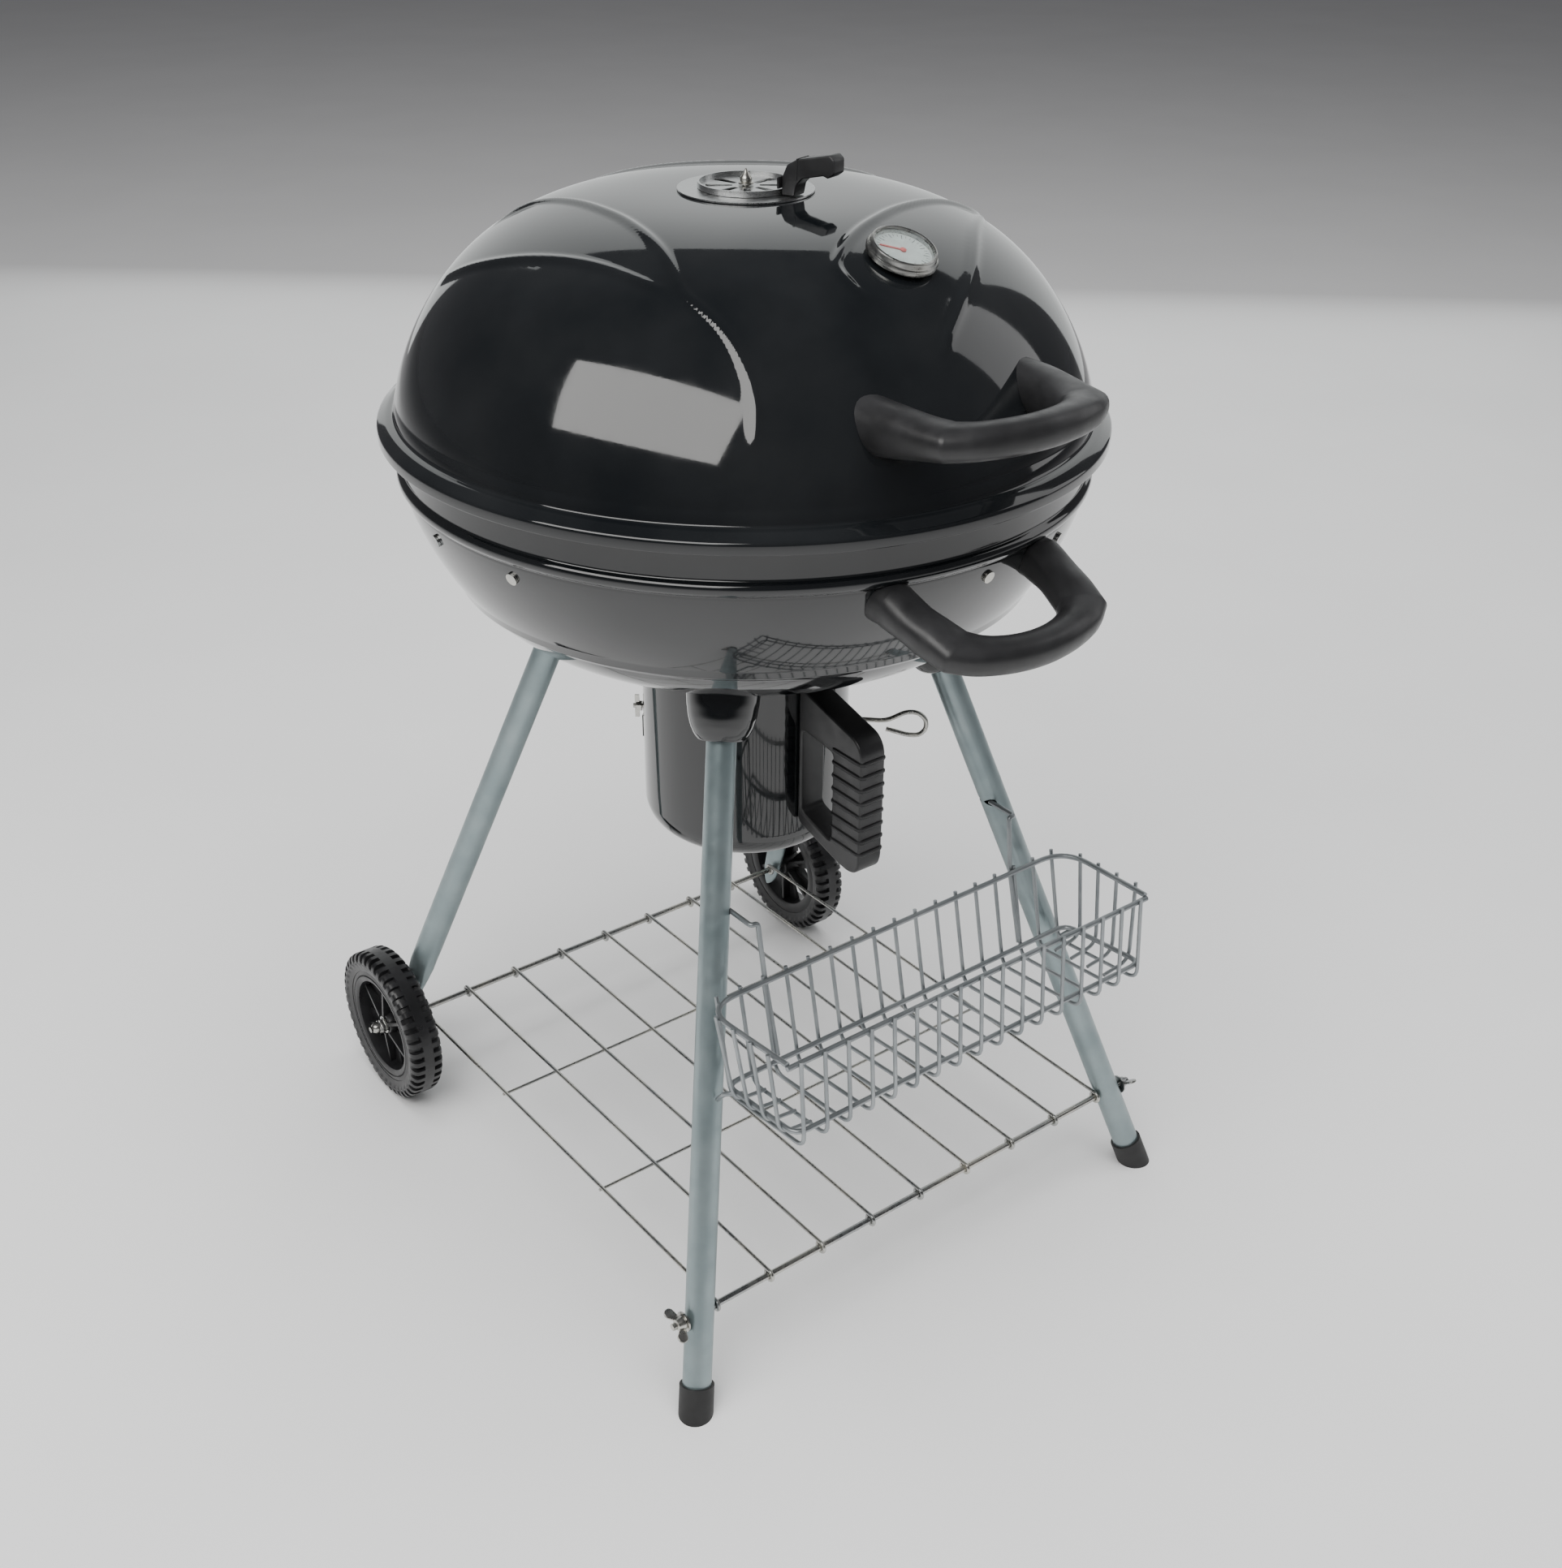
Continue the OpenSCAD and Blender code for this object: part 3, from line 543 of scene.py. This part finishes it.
def build_vent():
    """The vent's tab: a post that wraps the disc's rim and a chamfered grip that rises outwards."""
    z = APEX_Z + 2
    side = rounded([(38.4, z, 0), (50, z, 0), (52, z + 9, 0), (57, z + 14, 0), (76, z + 18.5, 0),
                    (80, z + 17, 0), (86, z + 21, 0), (86, z + 31, 0), (82, z + 34.5, 0), (52, z + 28, 0),
                    (43, z + 23, 0), (38.4, z + 13, 0)], 1.2, 2, closed=True)
    block = outline_plate([[(p.x, p.y) for p in side]], 7.5, 1.4)
    turn = Matrix.Rotation(math.radians(-72), 4, "Z") @ Matrix.Rotation(math.radians(90), 4, "X")
    foot = rounded([(36.6, z + 5.0, 0), (38.2, z + 5.0, 0), (38.2, z + 14, 0), (36.6, z + 13, 0)], 0.4, 1, closed=True)
    clip = outline_plate([[(p.x, p.y) for p in foot]], 11, 0.3)
    band = rounded([(51.4, z + 13, 0), (52.8, z + 13, 0), (53.4, z + 28.9, 0), (52, z + 28.6, 0)], 0.3, 1, closed=True)
    ring = outline_plate([[(p.x, p.y) for p in band]], 7.9, 0.3)
    part = moved(join(block, clip, ring), turn)
    piece("vent_tab_block", part, PLASTIC, "vent", ["vent_tab"])
    acorn = [(0, -9), (2.9, -9), (2.9, 4.2), (6.0, 4.2), (6.0, 5.2), (4.4, 6.0), (4.8, 7.6), (4.4, 9.4),
             (3.0, 11.2), (1.5, 13.6), (0.6, 15.6), (0, 16)]
    pin = moved(lathe([*acorn[:-1], (0.01, 16)], 32), Matrix.Translation((0, 0, APEX_Z)))
    piece("vent_pin_acorn", pin, PLATED, "lid", ["vent_pin"])


def dial_frame():
    """Matrix of the thermometer on the dome: z outwards, x straight down the dome."""
    x, y = 12.0, -172.0
    r = math.hypot(x, y)
    slope = (dome_z(r + 3) - dome_z(r - 3)) / 6
    m = Matrix.Rotation(math.atan2(y, x), 4, "Z") @ Matrix.Rotation(math.atan(-slope), 4, "Y")
    return Matrix.Translation((x, y, dome_z(r))) @ m


def build_thermometer():
    m = dial_frame()
    bezel = [(4.5, -34), (4.5, 1.6), (26.4, 1.6), (27.4, 2.2), (27.6, 4.6), (27.0, 6.0), (25.9, 6.4), (25.5, 7.4),
             (25.6, 9.4), (25.0, 10.6), (24.0, 11.1), (23.0, 10.7), (22.5, 9.4), (22.3, 5.0), (0.6, 4.95),
             (0.6, -34), (4.5, -34)]
    piece("thermometer_bezel", moved(lathe(bezel, 96), m), PLATED, "lid", ["thermometer_case"])
    face = [(0.01, 5.2), (22.2, 5.2), (22.2, 4.9), (0.01, 4.9), (0.01, 5.2)]
    piece("thermometer_face", moved(lathe(face, 96), m), DIAL, "lid", ["thermometer_dial"])
    marks = []
    for k in range(28):
        a = math.radians(-128 - 270 * k / 27)
        inner = 15.6 if k % 3 == 0 else 17.6
        wide = 0.34 if k % 3 == 0 else 0.2
        box = [(r, w, h) for r in (inner, 20.2) for w in (-wide, wide) for h in (5.2, 5.32)]
        faces = [(0, 1, 3, 2), (4, 6, 7, 5), (0, 4, 5, 1), (2, 3, 7, 6), (0, 2, 6, 4), (1, 5, 7, 3)]
        marks.append(moved((box, faces), Matrix.Rotation(a, 4, "Z")))
    piece("thermometer_marks", moved(join(*marks), m), MARKS, "lid")
    dress("thermometer_needle", NEEDLE)
    dress("thermometer_glass", GLASS)


# ---------------------------------------------------------------- bowl, legs
def build_bowl():
    outer = [(BOWL_R - 1.6, 0, RIM_Z + 5.6), (289.2, 0, RIM_Z + 5.6), (290.8, 0, RIM_Z + 4.2), (289.2, 0, RIM_Z + 2.6),
             (BOWL_R, 0, RIM_Z + 2.4), (BOWL_R, 0, BEAD_Z + 9)]
    bead = [(BOWL_R, 0, BEAD_Z + 6.4), (BOWL_R + 4.4, 0, BEAD_Z + 3.2), (BOWL_R + 4.4, 0, BEAD_Z - 3.2),
            (BOWL_R, 0, BEAD_Z - 6.6)]
    line = [(p[0], p[2]) for p in rounded(outer + bead + [(BOWL_R - 0.05, 0, BEAD_Z - 8.5)], 3.0, 4)]
    line += [(bowl_r(z), z) for z in np.linspace(BOWL_SIDE - 2, 628, 34)]
    step = [(246.4, 622.5), (245.4, 621.0)]
    line += step + [(bowl_r(z), z) for z in 563.5 + 56 * np.linspace(1, 0.004, 36) ** 2.2]
    line += [(88.2, BOWL_Z)]
    inner = [(88.2, BOWL_Z), (88.2, BOWL_Z + 1.6)]
    inner += [(bowl_r(z) - 1.4, z + 1.2) for z in 564 + 137 * np.linspace(0.01, 1, 24) ** 1.8]
    inner += [(BOWL_R - 1.6, BEAD_Z), (BOWL_R - 1.6, RIM_Z + 5.6)]
    piece("bowl_shell_skin", join(lathe(line, 288), lathe(inner, 144)), ENAMEL, "base", ["bowl_shell"], smooth=50)


def leg_matrix(sx, sy):
    """Leg frame: origin at the foot on the floor, z up the leg."""
    up = Vector((-sx * LEAN_X, -sy * LEAN_Y, 1)).normalized()
    side = Vector((0, 1, 0)).cross(up).normalized()
    return Matrix.Translation((sx * FOOT_X, sy * FOOT_Y, 0)) @ Matrix(
        (side, up.cross(side), up)).transposed().to_4x4()


def leg_length(z):
    return z * Vector((LEAN_X, LEAN_Y, 1)).length


def build_sockets():
    """Pressed cups that close on the bowl: each line up the cup ends where it meets the bowl."""
    shape = [(0, 18.6), (1.2, 20.2), (5, 23.0), (11, 25.8), (19, 28.0), (30, 29.6), (48, 30.8), (90, 32)]

    def cup_r(s):
        return float(np.interp(s, [p[0] for p in shape], [p[1] for p in shape]))

    parts = []
    rows, sides = 22, 56
    for sx in (-1, 1):
        for sy in (-1, 1):
            m, base = leg_matrix(sx, sy), leg_length(CUP_Z)
            lines = []
            for k in range(sides):
                a = k * TAU / sides

                def at(s, r=None):
                    r = cup_r(s) if r is None else r
                    return m @ Vector((r * math.cos(a), r * math.sin(a), base + s))

                low, high = 0.0, 90.0
                for _ in range(26):
                    s = (low + high) / 2
                    p = at(s)
                    inside = p.z > BOWL_Z and math.hypot(p.x, p.y) < bowl_r(p.z)
                    low, high = (low, s) if inside else (s, high)
                up = [at(low * (i / rows) ** 1.5) for i in range(rows, -1, -1)]
                lines.append([tuple(p) for p in up + [at(0, 17.4), at(0.4, 13.0), at(6, 12.7)]])
            parts.append(skin(lines, closed=False, looped=True))
    piece("leg_socket_cups", join(*parts), ENAMEL, "base", ["leg_sockets"], smooth=40)


def build_rear_legs():
    """Rear legs: round tube, pressed flat at the bottom into a pointed blade that takes the axle."""
    rows = [(LEG_TOP, 12.5, 12.5), (300, 12.5, 12.5), (172, 12.5, 12.5), (160, 12.6, 12.0), (148, 13.0, 9.6),
            (136, 13.4, 6.4), (126, 13.4, 3.6), (118, 13.2, 2.2), (108, 13.0, 2.0), (84, 12.4, 2.0), (70, 11.0, 2.0),
            (60, 7.4, 2.0), (54, 3.6, 2.0), (51.4, 0.8, 1.6)]
    blade_x = FOOT_X - LEAN_X * 116
    for sx, name in ((-1, "left"), (1, "right")):
        rings = []
        for z, across, thin in rows:
            x = max(FOOT_X - LEAN_X * z, 0)
            x = min(x, blade_x) if z < 160 else x
            flat = min(1.0, max(0.0, (160 - z) / 40))
            blunt = 2 + 3 * flat
            ring = []
            for k in range(40):
                c, s = math.cos(k * TAU / 40), math.sin(k * TAU / 40)
                u = math.copysign(abs(c) ** (2 / blunt), c) * thin
                w = math.copysign(abs(s) ** (2 / blunt), s) * across
                tilt = math.atan(LEAN_X) * (1 - flat)
                ring.append((sx * x + u * math.cos(tilt), FOOT_Y - LEAN_Y * z + w * 0.957,
                             z + sx * u * math.sin(tilt) + w * 0.291))
            rings.append(ring)
        piece(f"rear_{name}_leg_tube", skin(rings, cap=True), LEG, "base", [f"rear_{name}_leg"], smooth=50)


# ---------------------------------------------------------------- ash pot and damper
def build_pot():
    corner = [(POT_R - 25 + 25 * math.cos(a), POT_Z + 27 - 27 * math.sin(a)) for a in np.linspace(0, math.pi / 2, 14)]
    outer = [(POT_R, POT_TOP), (POT_R + 0.8, POT_TOP - 1), (POT_R + 0.8, POT_TOP - 3.4), (POT_R, POT_TOP - 4.6)]
    outer += [(POT_R, z) for z in (540, 520, 502, 484, 470, DAMPER_Z - 3.4, 440, 410)]
    outer += corner + [(40, POT_Z), (0.4, POT_Z)]
    inner = [(0.4, POT_Z + 1.5), (40, POT_Z + 1.5)]
    inner += [(r - 1.5 * math.cos(a), z + 1.5 * math.sin(a))
              for (r, z), a in zip(corner[::-1], np.linspace(math.pi / 2, 0, 14))]
    inner += [(POT_R - 1.5, z) for z in (410, 440, DAMPER_Z - 3.4, 470, 484, 502, 520, 540, POT_TOP)]
    profile = outer + inner + [outer[0]]
    tab = [(POT_R + 0.1, -6, 438), (POT_R + 0.1, 6, 438), (POT_R + 0.1, 6, 459), (POT_R + 0.1, -6, 459),
           (POT_R + 1.7, -6, 438), (POT_R + 1.7, 6, 438), (POT_R + 1.7, 6, 459), (POT_R + 1.7, -6, 459)]
    tab_faces = [(0, 1, 2, 3), (7, 6, 5, 4), (0, 4, 5, 1), (1, 5, 6, 2), (2, 6, 7, 3), (3, 7, 4, 0)]
    tabs = [moved((tab, tab_faces), Matrix.Rotation(DAMPER_TURN + s, 4, "Z")) for s in (0, math.pi)]
    piece("ash_pot_shell", join(lathe(profile, 112), *tabs), ENAMEL, "pot", ["ash_pot"], smooth=40)

    outline = rounded([(93.2, 534, 0), (104, 531, 0), (150, 519, 0), (170, 514, 0), (178, 503, 0), (178, 396, 0),
                       (174, 386, 0), (164, 383, 0), (150, 385, 0), (93.2, 401, 0)], 7, 4, closed=True)
    hole = rounded([(98, 494, 0), (140, 489, 0), (140, 402, 0), (98, 414, 0)], 5, 3, closed=True)
    frame_part = outline_plate([[(p.x, p.y) for p in outline], [(p.x, p.y) for p in hole]], 13, 2.2)
    ridges = []
    for k in range(8):
        z = 406 + k * 12.6
        loop = rounded([(139.4, -13, 0), (178.4, -13, 0), (178.4, 13, 0), (139.4, 13, 0)], 5, 4, closed=True)
        ridges.append(tube([(p.x, z, p.y) for p in loop], 1.9, 8, closed=True))
    upright = Matrix(((0, 0, 1, 0), (-1, 0, 0, 0), (0, 1, 0, 0), (0, 0, 0, 1)))   # (s, z, t) to (x, y, z)
    piece("pot_handle_grip", moved(join(frame_part, *ridges), upright), PLASTIC, "pot", ["pot_handle"])


def build_damper():
    m = Matrix.Translation((0, 0, DAMPER_Z)) @ Matrix.Rotation(DAMPER_TURN, 4, "Z")
    line = [(-103, 0, 0), (127, 0, 0), (145, 0, 10.4), (156, 0, 10.2), (163, 0, 3), (163, 0, -6), (157, 0, -12.6),
            (147, 0, -13), (127, 0, -8.2)]
    wire = tube(rounded(line, 7, 5), 2.2, 14)
    collar = [(2.3, 94), (4.2, 94), (4.8, 94.8), (4.8, 98.4), (4.2, 99.2), (2.3, 99.2), (2.3, 94)]
    turned = moved(lathe(collar, 24), Matrix.Rotation(math.pi / 2, 4, "Y"))
    part = moved(join(wire, turned), m)
    piece("damper_rod_wire", part, PLATED, "damper", ["damper_rod"], smooth=50)


# ---------------------------------------------------------------- wheels
def wheel_matrix(side):
    """Wheel frame: origin on the axle at the wheel's inner face, z outwards."""
    return Matrix.Translation((side * (WHEEL_X - WHEEL_W), AXLE_Y, AXLE_Z)) @ Matrix.Rotation(
        side * math.pi / 2, 4, "Y")


def tyre_part():
    """Tyre with two staggered rows of shoulder lugs round a smooth centre band."""
    pitches = 44
    mid = WHEEL_W / 2
    # across the tread: offset from the middle, radius on a lug, radius between lugs
    tread = [(-15.5, 66, 66), (-16.9, 69.5, 68.6), (-16.6, 73, 70.4), (-15.2, 76.4, 71.8), (-13.2, 78.2, 73.4),
             (-10.5, 78.9, 74.6), (-6.2, 79.0, 75.2), (-5.2, 79.0, 79.0), (-5.0, 79, 79), (0, 79, 79)]
    tread = tread + [(-w, lug, gap) for w, lug, gap in reversed(tread[:-1])]
    angles, raised = [], []
    for k in range(pitches):
        for share, left, right in ((0.0, 1, 0), (0.05, 1, 0), (0.45, 1, 0), (0.50, 0, 1), (0.55, 0, 1), (0.95, 0, 1)):
            angles.append((k + share) / pitches * TAU)
            raised.append((left, right))
    rings = []
    for a, (left, right) in zip(angles, raised):
        ring = []
        for w, lug, gap in tread:
            r = lug if (left if w < 0 else right) else gap
            ring.append((r * math.cos(a), r * math.sin(a), mid + w))
        # inner wall down to the hub's rim
        ring += [(64.5 * math.cos(a), 64.5 * math.sin(a), mid + 15.3), (60 * math.cos(a), 60 * math.sin(a), mid + 14.2),
                 (60 * math.cos(a), 60 * math.sin(a), mid - 14.2), (64.5 * math.cos(a), 64.5 * math.sin(a), mid - 15.3)]
        rings.append(ring)
    return skin(rings, looped=True)


def hub_part():
    """Moulded hub: flat rim with a groove, a deep dish with windows, fins and a centre boss."""
    mid = WHEEL_W / 2
    rim = [(59.9, 3.2), (59.9, 30.8), (56, 31.4), (55, 30.2), (54, 31.4), (51, 31.2), (48.6, 29.6), (47.2, 18.6),
           (47.2, 15.4), (48.6, 4.4), (51, 2.8), (56, 2.6), (59.9, 3.2)]
    boss = [(3.2, 0.3), (10, 0.3), (11.4, 1.6), (12.6, 12), (12.6, 20), (11, 24.2), (9.6, 25), (3.2, 25), (3.2, 0.3)]
    parts = [lathe(rim, 96), lathe(boss, 48)]
    for k in range(6):
        a = k * TAU / 6
        sector = [(r, z) for r, z in ((12, 15), (20, 14.2), (34, 14.4), (47.6, 15.2), (47.6, 18.8), (34, 17.8),
                                      (20, 17.6), (12, 19))]
        spread = [math.radians(s) for s in (-19, -12, 0, 12, 19)]
        rings = [[(r * math.cos(a + s), r * math.sin(a + s), z) for r, z in sector] for s in spread]
        parts.append(skin(rings, cap=True))
        for low, high in ((5, 15), (18, 27)):
            fin = [(11, -1.6, low), (47.8, -1.6, low + 1), (47.8, 1.6, low + 1), (11, 1.6, low),
                   (11, -1.6, high), (47.8, -1.6, high - 3 if high > 20 else high), (47.8, 1.6, high - 3 if high > 20 else high),
                   (11, 1.6, high)]
            faces = [(3, 2, 1, 0), (4, 5, 6, 7), (0, 1, 5, 4), (1, 2, 6, 5), (2, 3, 7, 6), (3, 0, 4, 7)]
            parts.append(moved((fin, faces), Matrix.Rotation(a, 4, "Z")))
    return join(*parts)


def build_wheels():
    for side, name in ((-1, "left"), (1, "right")):
        m = wheel_matrix(side)
        piece(f"{name}_tyre_tread", moved(tyre_part(), m), TYRE, f"{name}_wheel",
              [f"{name}_tyre"], smooth=32)
        piece(f"{name}_hub_moulding", moved(hub_part(), m), TYRE, f"{name}_wheel",
              [f"{name}_hub"], smooth=32)
    nut = []
    for side in (-1, 1):
        m = wheel_matrix(side)
        hexagon = lathe([(3.1, 26.7), (7.2, 26.7), (7.6, 27.4), (7.6, 31.4), (7.0, 32.2), (3.1, 32.2), (3.1, 26.7)], 6)
        cap = lathe([(3.1, 31.6), (6.4, 31.6), (6.4, 32.8), (5.7, 33.4), (5.6, 35.4), (5.0, 37.6), (3.6, 39.6),
                     (1.8, 40.6), (0.02, 40.9), (0.02, 36), (3.1, 36), (3.1, 31.6)], 32)
        nut += [moved(hexagon, m), moved(cap, m)]
    piece("hub_nut_acorns", join(*nut), PLATED, "base", ["hub_nuts"])


# ---------------------------------------------------------------- shelf and rods
def build_shelf():
    r, rod = 1.75, ROD_R + 1.85
    parts = []
    for i in range(-4, 5):
        x = i * WIRE_PITCH
        front = [(-ROD_Y + a, ROD_Z + b) for a, b in arc((0, 0), rod, 405, 90, 22)]
        back = [(AXLE_Y + a, AXLE_Z + b) for a, b in arc((0, 0), rod, 90, -225, 22)]
        parts.append(tube([(x, y, z) for y, z in front + back], r, 10))
    for y in (-86, 86):
        z = AXLE_Z + rod + (ROD_Z - AXLE_Z) * (AXLE_Y - y) / (AXLE_Y + ROD_Y) - 3.1
        parts.append(tube([(-4 * WIRE_PITCH - 1.8, y, z), (4 * WIRE_PITCH + 1.8, y, z)], 1.5, 10))
    piece("shelf_wires", join(*parts), PLATED, "base", ["shelf"], smooth=60)
    nuts = []
    for side in (-1, 1):
        m = Matrix.Translation((side * 262, -ROD_Y, ROD_Z)) @ Matrix.Rotation(side * math.pi / 2, 4, "Y")
        nuts.append(moved(lathe([(3.1, 0), (6.4, 0), (6.4, 1.6), (5.0, 6.6), (3.1, 7.4), (3.1, 0)], 28), m))
        for turn in (60, 240):
            ear = [(3.4, 1.4), (5.2, 0.8), *arc((11.4, 7.2), 4.6, -60, 150, 14), (4.6, 6.4)]
            plate = outline_plate([ear], 1.2, 0.7)
            stand = Matrix.Rotation(math.radians(turn), 4, "Z") @ Matrix.Rotation(math.pi / 2, 4, "X")
            nuts.append(moved(plate, m @ stand))
    piece("wing_nut_ears", join(*nuts), PLATED, "base", ["wing_nuts"])


def build_grates():
    """Round-bar grates: a ring, parallel bars and two cross bars."""
    for name, r, z, pitch, count, bar, look, slot in (
            ("cooking_grate", 269.5, 709, 15, 17, 1.9, GRATE, "plated_steel"),
            ("charcoal_grate", 215, 606, 24, 8, 3.0, BARE, "plain_steel")):
        ring = [(r * math.cos(k * TAU / 120), r * math.sin(k * TAU / 120), z) for k in range(120)]
        parts = [tube(ring, bar + 0.5, 10, closed=True)]
        for k in range(-count, count + 1):
            h = math.sqrt(r * r - (k * pitch) ** 2)
            parts.append(tube([(k * pitch, -h, z), (k * pitch, h, z)], bar, 8))
        for y in (-0.5, 0.5):
            parts.append(tube([(-0.86 * r, y * r, z - bar * 1.9), (0.86 * r, y * r, z - bar * 1.9)], bar + 0.5, 8))
        piece(f"{name}_bars", join(*parts), look, name, [name], smooth=60)


# ---------------------------------------------------------------- basket
def build_basket():
    """Welded wire basket: rim and lower frame, U wires across it, end wires, hooks and stubs."""
    rim_w, u_w = 2.4, 1.75
    back_y, front_y, back_z, front_z = -216.0, -320.0, 352.0, 358.0
    low_back, low_front = (-234.0, 282.0), (-326.0, 292.0)
    parts = []
    # back rim with round corners, running along both ends to the front rim
    rim = rounded([(-198, front_y + 1, front_z), (-202, back_y, back_z), (202, back_y, back_z),
                   (198, front_y + 1, front_z)], 32, 9)
    parts.append(tube(rim, rim_w, 10))
    parts.append(tube([(-199, front_y, front_z - 3), (199, front_y, front_z - 3)], rim_w, 10))
    lower = rounded([(-194, low_back[0], low_back[1]), (194, low_back[0], low_back[1]),
                     (194, low_front[0], low_front[1]), (-194, low_front[0], low_front[1])], 12, 4, closed=True)
    parts.append(tube(lower, rim_w, 10, closed=True))
    for k in range(17):
        x = -188 + 23.5 * k
        path = rounded([(x, front_y - 3.2, front_z + 1), (x, low_front[0] - 3.4, 278.5), (x, low_back[0] + 2, 268.5),
                        (x, back_y + 3.4, back_z + 4)], 11, 5)
        parts.append(tube(path, u_w, 8))
    for side in (-1, 1):
        for k in range(4):
            t = (k + 0.8) / 4.6
            top_y = back_y + (front_y - back_y) * t
            low_y = low_back[0] + (low_front[0] - low_back[0]) * t
            top_z = back_z + (front_z - back_z) * t
            low_z = low_back[1] + (low_front[1] - low_back[1]) * t
            path = rounded([(side * 204.0, top_y, top_z + 3), (side * 197.4, low_y, low_z - 6),
                            (side * 166, low_y, low_z - 9.5)], 12, 5)
            parts.append(tube(path, u_w, 8))
        hook = rounded([(side * 138, low_back[0] + 4.2, 284), (side * 138, back_y + 4.4, 351),
                        (side * 139.5, -203.6, 402.4), (side * 146, -203.2, 402.4), (side * 146, -172, 401.8)], 7, 5)
        parts.append(tube(hook, 2.2, 10))
        stub = rounded([(side * 190, low_back[0] - 18, 283), (side * 200, low_back[0] - 6, 280),
                        (side * 196.5, -225.5, 263)], 6, 4)
        parts.append(tube(stub, 2.2, 10))
    piece("basket_wires", join(*parts), WIRE, "basket", ["basket"], smooth=60)


# ---------------------------------------------------------------- CAD nodes that stay
def dress(node, material):
    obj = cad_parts[node]
    obj.data.materials.clear()
    obj.data.materials.append(material)


KEPT = {
    ENAMEL: ["ash_collar"],
    LEG: ["front_left_leg", "front_right_leg"],
    CAP: ["foot_caps"],
    STEEL: ["vent_plate", "vent_disc"],
    BARE: ["grate_brackets", "damper_flap"],
    PLATED: ["lid_handle_screws", "thermometer_nut", "bowl_handle_screws", "bracket_rivets", "damper_nut",
             "pot_handle_rivets", "socket_screws", "axle", "axle_washers", "front_rod", "rod_washers"],
}

add_camera()
add_stage()
build_lid()
build_handles()
build_vent()
build_thermometer()
build_bowl()
build_sockets()
build_rear_legs()
build_pot()
build_damper()
build_wheels()
build_shelf()
build_grates()
build_basket()
for look, names in KEPT.items():
    for kept_name in names:
        dress(kept_name, look)
